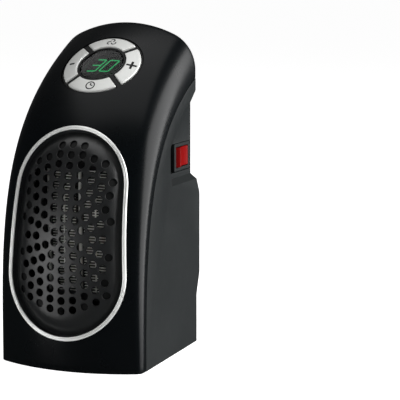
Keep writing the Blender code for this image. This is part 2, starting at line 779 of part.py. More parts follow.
def front_point(x, z):
    """The point of the body's front surface at the given X and Z."""
    low, high = 0.0, 1.0
    for _ in range(SEARCH_STEPS):
        middle = (low + high) / 2
        seam = seam_point(middle)
        up = (crown_point(middle) - seam).normalized()
        place = seam + up * section_height(middle, x)
        low, high = (middle, high) if place.y < z else (low, middle)
    return Vector((x, place.x, z))


def front_normal(x, z):
    across = front_point(x + GAP, z) - front_point(x - GAP, z)
    up = front_point(x, z + GAP) - front_point(x, z - GAP)
    return across.cross(up).normalized()


PANEL_ORIGIN = front_point(0, BODY_HEIGHT - PANEL_FROM_TOP)
PANEL_NORMAL = front_normal(0, BODY_HEIGHT - PANEL_FROM_TOP)
PANEL = axes((1, 0, 0), PANEL_NORMAL.cross(Vector((1, 0, 0))), PANEL_ORIGIN)

# The heater core stands behind the grille, and the fan between it and the back
FRAME_CORNER = (CORE_WIDTH / 2 + FRAME_WALL, CORE_HEIGHT + CORE_LENGTH / 2 + FRAME_WALL)
FRAME_FRONT_Y = front_point(*FRAME_CORNER).y + GRILLE_DEPTH + GRILLE_THICKNESS + CORE_FRONT_ROOM
CORE_Y = FRAME_FRONT_Y + FRAME_LIP + GAP
CORE_BACK_Y = CORE_Y + CORE_THICKNESS
FRAME_BACK_Y = CORE_BACK_Y + GAP + FRAME_LIP
SHROUD_Y = CORE_BACK_Y + DUCT_LENGTH_SHARE * (BULGE_Y - WALL - CORE_BACK_Y)
MOTOR_Y = SHROUD_Y + SHROUD_LENGTH + GAP
MOTOR_LENGTH = BULGE_Y - WALL - MOTOR_END_ROOM - MOTOR_Y


def panel_place(across, up, out):
    return PANEL @ Vector((across, up, out))


def circle(radius, sides=ROUND_SIDES, centre=(0, 0)):
    angles = [2 * math.pi * k / sides for k in range(sides)]
    return [(centre[0] + radius * math.cos(a), centre[1] + radius * math.sin(a)) for a in angles]


def key_sector(middle_angle, inner, outer, half_gap):
    """A quarter of a ring, drawn back by half_gap from both diagonals."""
    quarter = math.pi / 4
    outline = []
    for radius, way in ((outer, 1), (inner, -1)):
        reach = quarter - math.asin(half_gap / radius)
        for k in range(KEY_ARC_STEPS + 1):
            angle = middle_angle + way * reach * (2 * k / KEY_ARC_STEPS - 1)
            outline.append((radius * math.cos(angle), radius * math.sin(angle)))
    return outline


KEYS = {
    "plus_key": 0.0,
    "speed_key": math.pi / 2,
    "minus_key": math.pi,
    "timer_key": 3 * math.pi / 2,
}


def panel_slab(name, outer_depth, inner_depth, material=None):
    return front_slab(
        name, outer_depth, inner_depth, material, PANEL_LOW_SHARE, PANEL_HIGH_SHARE, CUT_SLAB_ROWS
    )


def panel_prism(name, outlines, low=-BOARD_DROP, high=BOARD_DROP):
    return prism(name, outlines, PANEL, low, high)


def screw_centres():
    """Name, centre and back plane of each of the four cover screws."""
    rows = []
    for side, x in (("left", -1), ("right", 1)):
        upper = Vector((x * UPPER_SCREW_REACH, UPPER_BACK_Y, UPPER_SCREW_HEIGHT))
        lower = Vector((x * LOWER_SCREW_REACH, BULGE_Y, LOWER_SCREW_HEIGHT))
        rows.append((f"upper_screw_{side}", upper, UPPER_SCREW_SINK))
        rows.append((f"lower_screw_{side}", lower, LOWER_SCREW_SINK))
    return rows


BORE_RADIUS = SCREW_SHANK_RADIUS + GAP
CUP_BORE_RADIUS = SCREW_HEAD_RADIUS + GAP
SCREW_CUP_RADIUS = CUP_BORE_RADIUS + BOSS_WALL
BOSS_RADIUS = BORE_RADIUS + BOSS_WALL


def screw_seat_y(centre, sink):
    """Where the underside of a screw's head lies."""
    return centre.y - sink - SCREW_HEAD_HEIGHT


def make_front_shell():
    shell = front_slab("front_shell", 0.0, WALL, SHELL_BLACK)
    cut(shell, front_prism("grille_opening", [ring_line(GAP)], -BODY_DEPTH, 0.0))
    cut(shell, panel_prism("panel_opening", [circle(PANEL_RADIUS + GAP, CUP_SIDES)]))
    outside = front_slab("boss_limit", -2 * OVERRUN, WALL / 2)
    for name, centre, sink in screw_centres():
        if name.startswith("upper"):
            back = screw_seat_y(centre, sink) - GAP - BOSS_WALL - GAP
            front = front_point(centre.x, centre.z).y - BOSS_RADIUS
            boss = y_rod(f"{name}_shell_boss", centre, front, back, BOSS_RADIUS, None, SMALL_SIDES)
            join(shell, cut(boss, outside))
            low = back - SCREW_LENGTH
            cut(shell, y_rod(f"{name}_shell_bore", centre, low, BACK_Y, BORE_RADIUS, None, SMALL_SIDES))
    return shell


def back_line():
    """Y and Z down the back of the housing, from the arch to the floor."""
    corners = [
        (UPPER_BACK_Y, SEAM_TOP_HEIGHT),
        (UPPER_BACK_Y, BULGE_TOP_HEIGHT),
        (BULGE_Y, BULGE_UPPER_HEIGHT),
        (BULGE_Y, BULGE_LOWER_HEIGHT),
        (BACK_Y, BULGE_FOOT_HEIGHT),
        (BACK_Y, 0),
    ]
    radii = [0] + [BULGE_CORNER_RADIUS] * 4 + [0]
    closed = corners + [(-BODY_DEPTH, 0), (-BODY_DEPTH, SEAM_TOP_HEIGHT)]
    return rounded(closed, radii + [0, 0], BULGE_CORNER_STEPS)[:-2]


def side_outline():
    front = []
    for k in range(SHELL_ROWS + 1):
        t = k / SHELL_ROWS
        seam = seam_point(t)
        back = (seam - crown_point(t)).normalized() * GAP
        place = seam + back
        front.append((place.x, max(place.y, 0)))
    return front + back_line()[1:]


def recess_outline(inset=0.0):
    """Y and Z round the waist recess, at its rim or drawn in by its slope."""
    back = BACK_Y + OVERRUN
    slope = RECESS_SLOPE / 2 * inset
    heel = RECESS_HEEL_SLOPE * inset
    outline = [
        (back, RECESS_HEEL_HEIGHT + heel),
        (BACK_Y - RECESS_HEEL_REACH + 2 * slope, RECESS_HEEL_HEIGHT + heel),
        (BACK_Y - RECESS_FRONT_REACH + 2 * slope, RECESS_FOOT_HEIGHT + heel),
        (BACK_Y - RECESS_FRONT_REACH + 2 * slope, RECESS_FRONT_HEIGHT - slope),
        (BACK_Y - RECESS_BEND_REACH + 2 * slope, RECESS_BEND_HEIGHT - slope),
        (UPPER_BACK_Y, RECESS_TOP_HEIGHT - 2 * slope),
        (back, RECESS_TOP_HEIGHT + OVERRUN - 2 * slope),
    ]
    return outline


def tapered(name, low_ring, high_ring):
    """A solid between two matching rings of points."""
    form = bmesh.new()
    rings = [[form.verts.new(place) for place in ring] for ring in (low_ring, high_ring)]
    form.faces.new(rings[0][::-1])
    form.faces.new(rings[1])
    count = len(low_ring)
    for k in range(count):
        after = (k + 1) % count
        form.faces.new((rings[0][k], rings[0][after], rings[1][after], rings[1][k]))
    bmesh.ops.triangulate(form, faces=form.faces)
    bmesh.ops.recalc_face_normals(form, faces=form.faces)
    return from_bmesh(name, form, None)


def recess_tool(name, depth_in):
    """The space of the waist recess, moved inwards by depth_in."""
    inner_x = RECESS_X - depth_in
    share = (RECESS_DEPTH + OVERRUN) / RECESS_DEPTH
    outer_x = inner_x + RECESS_DEPTH * share
    inner = [(inner_x, y, z) for y, z in recess_outline(1.0)]
    outer = [(outer_x, y, z) for y, z in recess_outline(1 - share)]
    return tapered(name, inner, outer)


def pocket_corners(grow):
    """Low and high corners of the switch pocket, grown by the given wall."""
    back = UPPER_BACK_Y - POCKET_BACK_WALL
    half = SWITCH_FLANGE_HEIGHT / 2 + GAP + grow
    low = (POCKET_X - grow, back - POCKET_LENGTH - grow, SWITCH_HEIGHT - half)
    high = (HALF_WIDTH + OVERRUN, back + grow, SWITCH_HEIGHT + half)
    return low, high


def base_outline():
    """X and Y of the base plate inside the front shell and between the side walls."""
    foot = seam_point(0)
    inset = WALL + GAP
    bow = [(x, foot.x - h) for x, h in section_outline(0, inset) if h > GAP]
    side, reach = INNER_X - GAP, INNER_X + WALL / 2
    back = BACK_Y - WALL - GAP
    joint = foot.x + OVERRUN
    right = [(side, joint), (reach, joint + WALL), (reach, back)]
    left = [(-x, y) for x, y in reversed(right)]
    return bow + right + left


def notch_outline(grow=0.0):
    low = (-HALF_WIDTH - OVERRUN, NOTCH_CENTRE_HEIGHT - NOTCH_HEIGHT / 2 - grow)
    high = (-NOTCH_INNER_REACH + grow, NOTCH_CENTRE_HEIGHT + NOTCH_HEIGHT / 2 + grow)
    corners = [low, (high[0], low[1]), high, (low[0], high[1])]
    radius = NOTCH_CORNER_RADIUS
    return rounded(corners, [0, radius, radius, 0], NOTCH_CORNER_STEPS)


def make_side_housing():
    housing = prism("side_housing", [side_outline()], PROFILE, -HALF_WIDTH, HALF_WIDTH, HOUSING_GREY)
    cavity = box(
        "housing_cavity",
        (-INNER_X, -BODY_DEPTH, -OVERRUN),
        (INNER_X, BODY_DEPTH, BODY_HEIGHT + OVERRUN),
    )
    cut(cavity, recess_tool("recess_backing", WALL), box("pocket_backing", *pocket_corners(POCKET_WALL)))
    cut(housing, cavity)
    join(housing, prism("base_plate", [base_outline()], PLAN, 0.0, WALL))
    for name, centre, sink in screw_centres():
        if name.startswith("lower"):
            back = screw_seat_y(centre, sink) - GAP - BOSS_WALL - GAP
            front = back - SCREW_LENGTH
            side = math.copysign(1, centre.x)
            web = sorted((centre.x, side * (INNER_X + WALL / 2)))
            low = (web[0], front, centre.z - BOSS_WALL)
            high = (web[1], back, centre.z + BOSS_WALL)
            boss = y_rod(f"{name}_boss", centre, front, back, BOSS_RADIUS, None, SMALL_SIDES)
            join(housing, join(boss, box(f"{name}_web", low, high)))
            bore = y_rod(f"{name}_bore", centre, front + BOSS_WALL, BACK_Y, BORE_RADIUS, None, SMALL_SIDES)
            cut(housing, bore)
    cut(housing, recess_tool("recess_space", 0.0), box("pocket_space", *pocket_corners(0.0)))
    cut(housing, box("switch_hole", *barrel_corners(GAP)))
    cut(housing, front_prism("notch_in_side", [notch_outline()], NOTCH_FLOOR_Y, BACK_Y + OVERRUN))
    return housing


def arch_slope():
    """Rise of the body's top over its run where it meets the back."""
    run = crown_point(1) - crown_point(1 - 1 / SEARCH_STEPS)
    return run.y / run.x


def cover_outline(y):
    """X and Z of the back cover at a value of Y, with the waist on the right."""
    slope = arch_slope()
    inset = WALL * math.hypot(1, slope) + GAP
    height = SEAM_TOP_HEIGHT - slope * (UPPER_BACK_Y - y)
    arch = [(x, height + h) for x, h in section_outline(1, inset)]
    waist = COVER_X - RECESS_DEPTH
    right = [
        (COVER_X, RECESS_TOP_HEIGHT + GAP),
        (waist, RECESS_TOP_HEIGHT - RECESS_SLOPE + GAP),
        (waist, RECESS_HEEL_HEIGHT + RECESS_HEEL_SLOPE - GAP),
        (COVER_X, RECESS_HEEL_HEIGHT - GAP),
        (COVER_X, GAP),
    ]
    return arch + right + [(-COVER_X, GAP)]


def make_back_cover():
    outer = back_line()
    outer = [(UPPER_BACK_Y, BODY_HEIGHT + OVERRUN)] + outer[1:-1] + [(BACK_Y, -OVERRUN)]
    inner = [(y - WALL, z) for y, z in outer]
    cover = prism("back_cover", [outer + inner[::-1]], PROFILE, -BODY_WIDTH, BODY_WIDTH, HOUSING_GREY)
    front, back = UPPER_BACK_Y - 2 * WALL, BULGE_Y + WALL
    limit = [[(x, y, z) for x, z in cover_outline(y)] for y in (front, back)]
    keep_inside(cover, tapered("cover_limit", *limit))
    cup = y_rod(
        "plug_cup", PLUG_CENTRE, CUP_END_Y, UPPER_BACK_Y - WALL / 2, CUP_RADIUS + CUP_WALL, None, CUP_SIDES
    )
    join(cover, cup)
    low_x, high_x = -COVER_X, -NOTCH_INNER_REACH + NOTCH_WALL
    half = NOTCH_HEIGHT / 2 + NOTCH_WALL
    low = (low_x, NOTCH_FLOOR_Y - NOTCH_WALL, NOTCH_CENTRE_HEIGHT - half)
    high = (high_x, UPPER_BACK_Y - WALL / 2, NOTCH_CENTRE_HEIGHT + half)
    join(cover, box("notch_tray", low, high))
    cut(cover, front_prism("notch_space", [notch_outline()], NOTCH_FLOOR_Y, BACK_Y + OVERRUN))
    cut(cover, y_rod("cup_space", PLUG_CENTRE, CUP_FLOOR_Y, BULGE_Y, CUP_RADIUS, None, CUP_SIDES))
    neck = y_rod("neck_hole", PLUG_CENTRE, 0.0, BACK_Y, NECK_RADIUS + GAP, None, CUP_SIDES)
    cut(cover, neck)
    for name, centre, sink in screw_centres():
        seat = screw_seat_y(centre, sink)
        end = seat - GAP - BOSS_WALL
        rim = centre.y - WALL / 2
        join(cover, y_rod(f"{name}_cup", centre, end, rim, SCREW_CUP_RADIUS, None, SMALL_SIDES))
        cut(cover, y_rod(f"{name}_sink", centre, seat - GAP, BULGE_Y + OVERRUN, CUP_BORE_RADIUS))
        cut(cover, y_rod(f"{name}_pass", centre, end - OVERRUN, BACK_Y, BORE_RADIUS, None, SMALL_SIDES))
    for k in range(SLOT_COUNT):
        x = SLOT_PITCH * (k - (SLOT_COUNT - 1) / 2)
        low = (x - SLOT_WIDTH / 2, SLOT_FOOT_HEIGHT)
        high = (x + SLOT_WIDTH / 2, SLOT_TOP_HEIGHT)
        corners = [low, (high[0], low[1]), high, (low[0], high[1])]
        slot = rounded(corners, [0, 0, SLOT_WIDTH / 3, SLOT_WIDTH / 3], SLOT_CORNER_STEPS)
        cut(cover, front_prism(f"intake_slot_{k}", [slot], BACK_Y - OVERRUN, BACK_Y + OVERRUN))
    for k, place in enumerate(post_places()):
        ends = (POWER_BOARD_Y + GAP, CUP_END_Y + CUP_FLOOR_THICKNESS / 2)
        join(cover, y_rod(f"board_post_{k}", place, *ends, POST_RADIUS, None, SMALL_SIDES))
    low, high = pocket_corners(POCKET_WALL + GAP)
    cut(cover, box("pocket_room", low, (high[0], BULGE_Y + OVERRUN, high[2])))
    cut(cover, box("switch_room", *barrel_corners(GAP)))
    cut(cover, button_slot())
    join(cover, spring_seat())
    return cover


def post_places():
    """Where the four posts that hold the power board stand."""
    heights = (POWER_BOARD_FOOT + POST_INSET, POWER_BOARD_TOP - POST_INSET)
    return [Vector((side * POST_REACH, 0, z)) for side in (-1, 1) for z in heights]


def make_trim_ring():
    line = ring_line(-RING_BAND_RADIUS, RING_SIDE_STEPS)
    points = [front_point(x, z) - front_normal(x, z) * RING_SINK for x, z in line]
    ring = tube("trim_ring", points, RING_BAND_RADIUS, CHROME, 2)
    ring.data.splines[0].use_cyclic_u = True
    return ring


def hole_centres():
    """X and Z of the holes: a straight middle column, and side columns that bow apart from the middle."""
    centres = [(0.0, HOLE_CENTRE_FOOT + HOLE_CENTRE_PITCH * k) for k in range(HOLE_CENTRE_COUNT)]
    places = [(HOLE_MIDDLE_PITCH * column, HOLE_MIDDLE_HEIGHT) for column in HOLE_MIDDLE_COLUMNS]
    for half, counts in ((1, HOLE_ROWS_ABOVE), (-1, HOLE_ROWS_BELOW)):
        for column, count in enumerate(counts):
            for row in range(count):
                pinch = math.exp(-row / (HOLE_PINCH_ROWS + HOLE_PINCH_SPREAD * column))
                dip = math.exp(-row / HOLE_DIP_ROWS)
                x = (column + 1) * (HOLE_COLUMN_PITCH - HOLE_PINCH * pinch)
                rise = HOLE_FIRST_RISE + HOLE_ROW_PITCH * row - HOLE_ROW_TAPER * row**2
                rise += column * (HOLE_COLUMN_RISE - HOLE_COLUMN_DIP * dip)
                places.append((x, HOLE_MIDDLE_HEIGHT + half * rise))
    for x, z in places:
        if ring_room(x, z) > HOLE_FIELD_MARGIN:
            centres += [(x, z), (-x, z)]
    return centres


def cushion(x, z):
    """How far the grille stands up from its deep rim."""
    reach = (ring_room(x, z) - GRILLE_RIM) / GRILLE_SHOULDER
    return GRILLE_RISE * (1 - (1 - min(max(reach, 0.0), 1.0)) ** 2)


def make_front_grille():
    shares = (GRILLE_LOW_SHARE, GRILLE_HIGH_SHARE)
    inner = GRILLE_DEPTH + GRILLE_THICKNESS
    grille = front_slab("front_grille", GRILLE_DEPTH, inner, GRILLE_BLACK, *shares, GRILLE_ROWS, cushion)
    keep_inside(grille, front_prism("grille_edge", [ring_line(GRILLE_LAP)], -BODY_DEPTH, 0.0))
    form = bmesh.new()
    turn = Matrix.Rotation(math.pi / 2, 4, "X")
    for x, z in hole_centres():
        place = Matrix.Translation((x, -BODY_DEPTH / 2, z)) @ turn
        bmesh.ops.create_cone(
            form,
            cap_ends=True,
            segments=HOLE_SIDES,
            radius1=HOLE_RADIUS,
            radius2=HOLE_RADIUS,
            depth=BODY_DEPTH,
            matrix=place,
        )
    cut(grille, from_bmesh("grille_holes", form, None))
    return grille


def make_control_panel():
    bezel = panel_slab("panel_bezel", PANEL_SINK, PANEL_SINK + PANEL_THICKNESS, GRILLE_BLACK)
    keep_inside(bezel, panel_prism("bezel_edge", [circle(PANEL_RADIUS, CUP_SIDES)]))
    cut(bezel, panel_prism("window_hole", [circle(WINDOW_RADIUS + GAP, CUP_SIDES)]))
    window = panel_slab("display_window", PANEL_SINK, PANEL_SINK + WINDOW_THICKNESS, WINDOW_SMOKE)
    keep_inside(window, panel_prism("window_edge", [circle(WINDOW_RADIUS, CUP_SIDES)]))
    board_top = -BOARD_DROP + BOARD_THICKNESS
    board_ends = (panel_place(0, 0, -BOARD_DROP), panel_place(0, 0, board_top))
    rod("control_board", *board_ends, BOARD_RADIUS, BOARD_GREEN, CUP_SIDES)
    middle = (KEY_INNER_RADIUS + KEY_OUTER_RADIUS) / 2
    cell_low = board_top + GAP
    cell_high = cell_low + SWITCH_CELL_HEIGHT
    for name, angle in KEYS.items():
        inner, outer = KEY_INNER_RADIUS - KEY_GAP, KEY_OUTER_RADIUS + KEY_GAP
        hole = key_sector(angle, inner, outer, KEY_HALF_GAP - KEY_GAP)
        cut(bezel, panel_prism(f"{name}_hole", [hole]))
        key = panel_slab(name, -KEY_PROUD, KEY_THICKNESS - KEY_PROUD, KEY_SILVER)
        sector = key_sector(angle, KEY_INNER_RADIUS, KEY_OUTER_RADIUS, KEY_HALF_GAP)
        keep_inside(key, panel_prism(f"{name}_edge", [sector]))
        across, up = middle * math.cos(angle), middle * math.sin(angle)
        top = panel_place(across, up, -key_sag(across, up) - KEY_THICKNESS / 2)
        stem_end = panel_place(across, up, -KEY_STEM_END)
        join(key, rod(f"{name}_stem", stem_end, top, KEY_STEM_RADIUS, None, SMALL_SIDES))
        cell_side = SWITCH_CELL_SIDE / 2
        corners = rounded_box((across - cell_side, up - cell_side), (across + cell_side, up + cell_side), 0)
        cell = prism(f"{name}_switch", [corners], PANEL, cell_low, cell_high, STEEL)
        plunger_end = -KEY_STEM_END - KEY_TRAVEL - GAP
        ends = (panel_place(across, up, cell_low + GAP), panel_place(across, up, plunger_end))
        join(cell, rod(f"{name}_plunger", *ends, SWITCH_PLUNGER_RADIUS, None, SMALL_SIDES))
        carry(pivot(f"{name}_slide", PANEL_ORIGIN), key)
    for k in range(4):
        angle = math.pi / 4 + k * math.pi / 2
        place = (middle * math.cos(angle), middle * math.sin(angle))
        sag = key_sag(*place)
        ends = (panel_place(*place, board_top + GAP), panel_place(*place, -sag - PANEL_THICKNESS / 2))
        join(bezel, rod(f"board_leg_{k}", *ends, LEG_RADIUS, None, SMALL_SIDES))
    half_width, half_length = DISPLAY_WIDTH / 2, DISPLAY_LENGTH / 2
    corners = rounded_box((-half_width, -half_length), (half_width, half_length), 0)
    prism("display_module", [corners], PANEL, cell_low, cell_low + DISPLAY_HEIGHT, INNER_PLASTIC)


def key_sag(across, up):
    """How far the body's surface lies below the panel's plane at a place on the panel."""
    place = panel_place(across, up, 0)
    surface = front_point(across, place.z)
    return (place - surface).dot(PANEL_NORMAL)


def switch_centre():
    back = UPPER_BACK_Y - POCKET_BACK_WALL - GAP
    return Vector((RECESS_X, back - SWITCH_FLANGE_LENGTH / 2, SWITCH_HEIGHT))


def barrel_corners(grow):
    """Low and high corners of the switch's barrel, grown on every side."""
    centre = switch_centre()
    half_length = SWITCH_BODY_LENGTH / 2 + grow
    half_height = SWITCH_BODY_HEIGHT / 2 + grow
    flange_x = POCKET_X + GAP
    low_x, high_x = flange_x - SWITCH_BODY_DEPTH - grow, flange_x + SWITCH_FLANGE_THICKNESS / 2
    low = (low_x, centre.y - half_length, centre.z - half_height)
    high = (high_x, centre.y + half_length, centre.z + half_height)
    return low, high


def make_rocker_switch():
    centre = switch_centre()
    flange_x = POCKET_X + GAP
    half = Vector((0, SWITCH_FLANGE_LENGTH / 2, SWITCH_FLANGE_HEIGHT / 2))
    low = Vector((flange_x, centre.y, centre.z)) - half
    high = Vector((flange_x + SWITCH_FLANGE_THICKNESS, centre.y, centre.z)) + half
    body = box("switch_body", low, high, HOUSING_GREY)
    join(body, box("switch_barrel", *barrel_corners(0.0)))
    axis = Vector((flange_x + SWITCH_FLANGE_THICKNESS - ROCKER_PIVOT_DEPTH, centre.y, centre.z))
    up = Vector((0, 0, ROCKER_HEIGHT / 2))
    space = up + Vector((0, 0, GAP))
    cut(body, rod("rocker_space", axis - space, axis + space, ROCKER_RADIUS + GAP, None, CUP_SIDES))
    axle = up + Vector((0, 0, GAP + ROCKER_AXLE_RADIUS / 2))
    bore = axle + Vector((0, 0, GAP))
    cut(body, rod("axle_bore", axis - bore, axis + bore, ROCKER_AXLE_RADIUS + GAP, None, SMALL_SIDES))
    outline = rocker_outline()
    turn = Matrix.Translation(axis) @ Matrix.Rotation(ROCKER_REST_TILT, 4, "Z")
    rocker = prism("switch_rocker", [outline], turn, -ROCKER_HEIGHT / 2, ROCKER_HEIGHT / 2, ROCKER_RED)
    join(rocker, rod("rocker_axle", axis - axle, axis + axle, ROCKER_AXLE_RADIUS, None, SMALL_SIDES))
    carry(pivot("rocker_axis", axis), rocker)
    inner_x = flange_x - SWITCH_BODY_DEPTH - GAP
    for k, side in enumerate((-1, 1)):
        y = centre.y + side * TERMINAL_SPACING / 2
        low = (inner_x - TERMINAL_LENGTH, y - TERMINAL_THICKNESS / 2, centre.z - TERMINAL_WIDTH / 2)
        high = (inner_x, y + TERMINAL_THICKNESS / 2, centre.z + TERMINAL_WIDTH / 2)
        box(f"switch_terminal_{k + 1}", low, high, BRASS)


def rocker_outline():
    """X and Y of the rocker round its pivot, with round ends and a dished face."""
    reach = math.asin(ROCKER_TIP_RISE / ROCKER_RADIUS)
    tip_y = ROCKER_RADIUS * math.cos(reach)
    ends = [reach * k / ROCKER_STEPS for k in range(ROCKER_STEPS + 1)]
    outline = [(ROCKER_RADIUS * math.sin(a), ROCKER_RADIUS * math.cos(a)) for a in ends]
    for k in range(1, 2 * ROCKER_STEPS):
        share = 1 - k / ROCKER_STEPS
        outline.append((ROCKER_DIP_RISE + (ROCKER_TIP_RISE - ROCKER_DIP_RISE) * share**2, tip_y * share))
    outline += [(ROCKER_RADIUS * math.sin(a), -ROCKER_RADIUS * math.cos(a)) for a in reversed(ends)]
    return outline + [(-ROCKER_KEEL, -ROCKER_RADIUS / 2), (-ROCKER_KEEL, ROCKER_RADIUS / 2)]


def turned(name, profile, place, material=None, sides=CUP_SIDES):
    """A turned solid round a line along Y; the profile is radius and Y from place, back to front."""
    form = bmesh.new()
    points = [form.verts.new((radius, 0, along)) for radius, along in profile]
    for here, there in zip(points, points[1:]):
        form.edges.new((here, there))
    thing = from_bmesh(name, form, material)
    screw = thing.modifiers.new("turned", "SCREW")
    screw.axis = "Z"
    screw.steps = sides
    screw.render_steps = sides
    screw.use_merge_vertices = True
    screw.merge_threshold = WELD
    thing.location = place
    thing.rotation_euler = (-math.pi / 2, 0, 0)
    return thing


def make_plug():
    flange_back = -FLANGE_DEPTH
    flange_front = flange_back - FLANGE_THICKNESS
    neck_end = CUP_END_Y - UPPER_BACK_Y
    flange_radius = CUP_RADIUS - 2 * GAP
    profile = [
        (0, PLUG_PROUD),
        (PLUG_RADIUS - PLUG_EDGE, PLUG_PROUD),
        (PLUG_RADIUS, PLUG_PROUD - PLUG_EDGE),
        (PLUG_RADIUS, flange_back),
        (flange_radius, flange_back),
        (flange_radius, flange_front),
        (NECK_RADIUS, flange_front),
        (NECK_RADIUS, neck_end),
        (0, neck_end),
    ]
    centre = (0, UPPER_BACK_Y, CUP_HEIGHT)
    plug = turned("plug_body", profile, centre, GRILLE_BLACK)
    for side, word in ((-1, "left"), (1, "right")):
        place = Vector((side * PIN_SPACING / 2, PLUG_FACE_Y, CUP_HEIGHT))
        cut(plug, y_rod(f"pin_bore_{word}", place, 0.0, 2 * PLUG_FACE_Y, PIN_RADIUS + GAP))
        seat = PLUG_FACE_Y - COLLAR_SINK - GAP
        cut(plug, y_rod(f"collar_seat_{word}", place, seat, 2 * PLUG_FACE_Y, COLLAR_RADIUS + GAP))
        make_pin(word, place)
    for side in (-1, 1):
        hole = PLUG_CENTRE + Vector((0, 0, side * KEYHOLE_REACH))
        low_y, high_y = PLUG_FACE_Y - KEYHOLE_DEPTH, PLUG_FACE_Y + OVERRUN
        cut(plug, y_rod(f"keyhole_{side}", hole, low_y, high_y, KEYHOLE_RADIUS, None, SMALL_SIDES))
        rim = hole + Vector((0, 0, side * PLUG_RADIUS))
        low = (-KEYHOLE_SLOT_WIDTH / 2, low_y, min(hole.z, rim.z))
        high = (KEYHOLE_SLOT_WIDTH / 2, high_y, max(hole.z, rim.z))
        cut(plug, box(f"keyhole_slot_{side}", low, high))
        for k in (-1, 1):
            z = CUP_HEIGHT + k * RIB_PITCH / 2
            reach = sorted((side * (PLUG_RADIUS - RIB_PROUD), side * (PLUG_RADIUS + RIB_PROUD)))
            low = (reach[0], UPPER_BACK_Y + flange_back - FLANGE_THICKNESS / 2, z - RIB_THICKNESS / 2)
            high = (reach[1], UPPER_BACK_Y + RIB_LENGTH, z + RIB_THICKNESS / 2)
            join(plug, box(f"rib_{side}_{k}", low, high))
    back = RETAINER_Y
    ends = (back - RETAINER_THICKNESS, back)
    retainer = y_rod("plug_retainer", PLUG_CENTRE, *ends, RETAINER_RADIUS, INNER_PLASTIC)
    ring_back = back - RETAINER_THICKNESS - GAP
    ring_front = ring_back - SLIP_RING_THICKNESS
    moving = [plug, retainer]
    for word, radius in (("outer", OUTER_RING_RADIUS), ("inner", INNER_RING_RADIUS)):
        ring = y_rod(f"slip_ring_{word}", PLUG_CENTRE, ring_front, ring_back, radius, BRASS)
        bore_radius = radius - SLIP_RING_WIDTH
        cut(ring, y_rod(f"slip_ring_{word}_bore", PLUG_CENTRE, 0.0, BACK_Y, bore_radius))
        moving.append(ring)
    for word, side in (("outer", -1), ("inner", 1)):
        radius = OUTER_RING_RADIUS if word == "outer" else INNER_RING_RADIUS
        z = CUP_HEIGHT + side * (radius - SLIP_RING_WIDTH / 2)
        half = BLADE_CONTACT_WIDTH / 2
        low = (-half, POWER_BOARD_Y + GAP, z - BLADE_CONTACT_THICKNESS / 2)
        high = (half, ring_front - GAP, z + BLADE_CONTACT_THICKNESS / 2)
        blade = box(f"contact_blade_{word}", low, high, BRASS)
        foot_high = (half, POWER_BOARD_Y + GAP + BLADE_CONTACT_THICKNESS, z + BLADE_CONTACT_WIDTH)
        join(blade, box(f"contact_foot_{word}", low, foot_high))
    words = ("left", "right")
    moving += [bpy.data.objects[f"plug_pin_{word}"] for word in words]
    moving += [bpy.data.objects[f"pin_collar_{word}"] for word in words]
    carry(pivot("plug_axis", PLUG_CENTRE), *moving)


def make_pin(word, place):
    tail = CUP_END_Y + GAP - PLUG_FACE_Y
    profile = [
        (0, PIN_LENGTH),
        (PIN_RADIUS - PIN_TIP_BEVEL, PIN_LENGTH),
        (PIN_RADIUS, PIN_LENGTH - PIN_TIP_BEVEL),
        (PIN_RADIUS, tail),
        (0, tail),
    ]
    turned(f"plug_pin_{word}", profile, place, PIN_NICKEL, PIN_SIDES)
    low_y, high_y = PLUG_FACE_Y - COLLAR_SINK, PLUG_FACE_Y + COLLAR_PROUD
    collar = y_rod(f"pin_collar_{word}", place, low_y, high_y, COLLAR_RADIUS, COLLAR_WHITE)
    cut(collar, y_rod(f"collar_bore_{word}", place, 0.0, 2 * PLUG_FACE_Y, PIN_RADIUS + GAP))


def button_box(name, width, height, low_y, high_y):
    low = (BUTTON_CENTRE_X - width / 2, low_y, NOTCH_CENTRE_HEIGHT - height / 2)
    high = (BUTTON_CENTRE_X + width / 2, high_y, NOTCH_CENTRE_HEIGHT + height / 2)
    return box(name, low, high)


def button_slot():
    half = BUTTON_FOOT_WIDTH / 2 + GAP
    half_height = BUTTON_FOOT_HEIGHT / 2 + GAP
    high_x = BUTTON_CENTRE_X + half + BUTTON_TRAVEL
    low = (BUTTON_CENTRE_X - half, PLATE_BACK_Y, NOTCH_CENTRE_HEIGHT - half_height)
    high = (high_x, NOTCH_FLOOR_Y + OVERRUN, NOTCH_CENTRE_HEIGHT + half_height)
    return box("button_slot", low, high)


def spring_seat():
    half = BUTTON_FOOT_HEIGHT / 2
    low = (SEAT_X, TAB_END_Y, NOTCH_CENTRE_HEIGHT - half)
    high = (SEAT_X + BUTTON_TAB_THICKNESS, NOTCH_FLOOR_Y - NOTCH_WALL / 2, NOTCH_CENTRE_HEIGHT + half)
    return box("spring_seat", low, high)


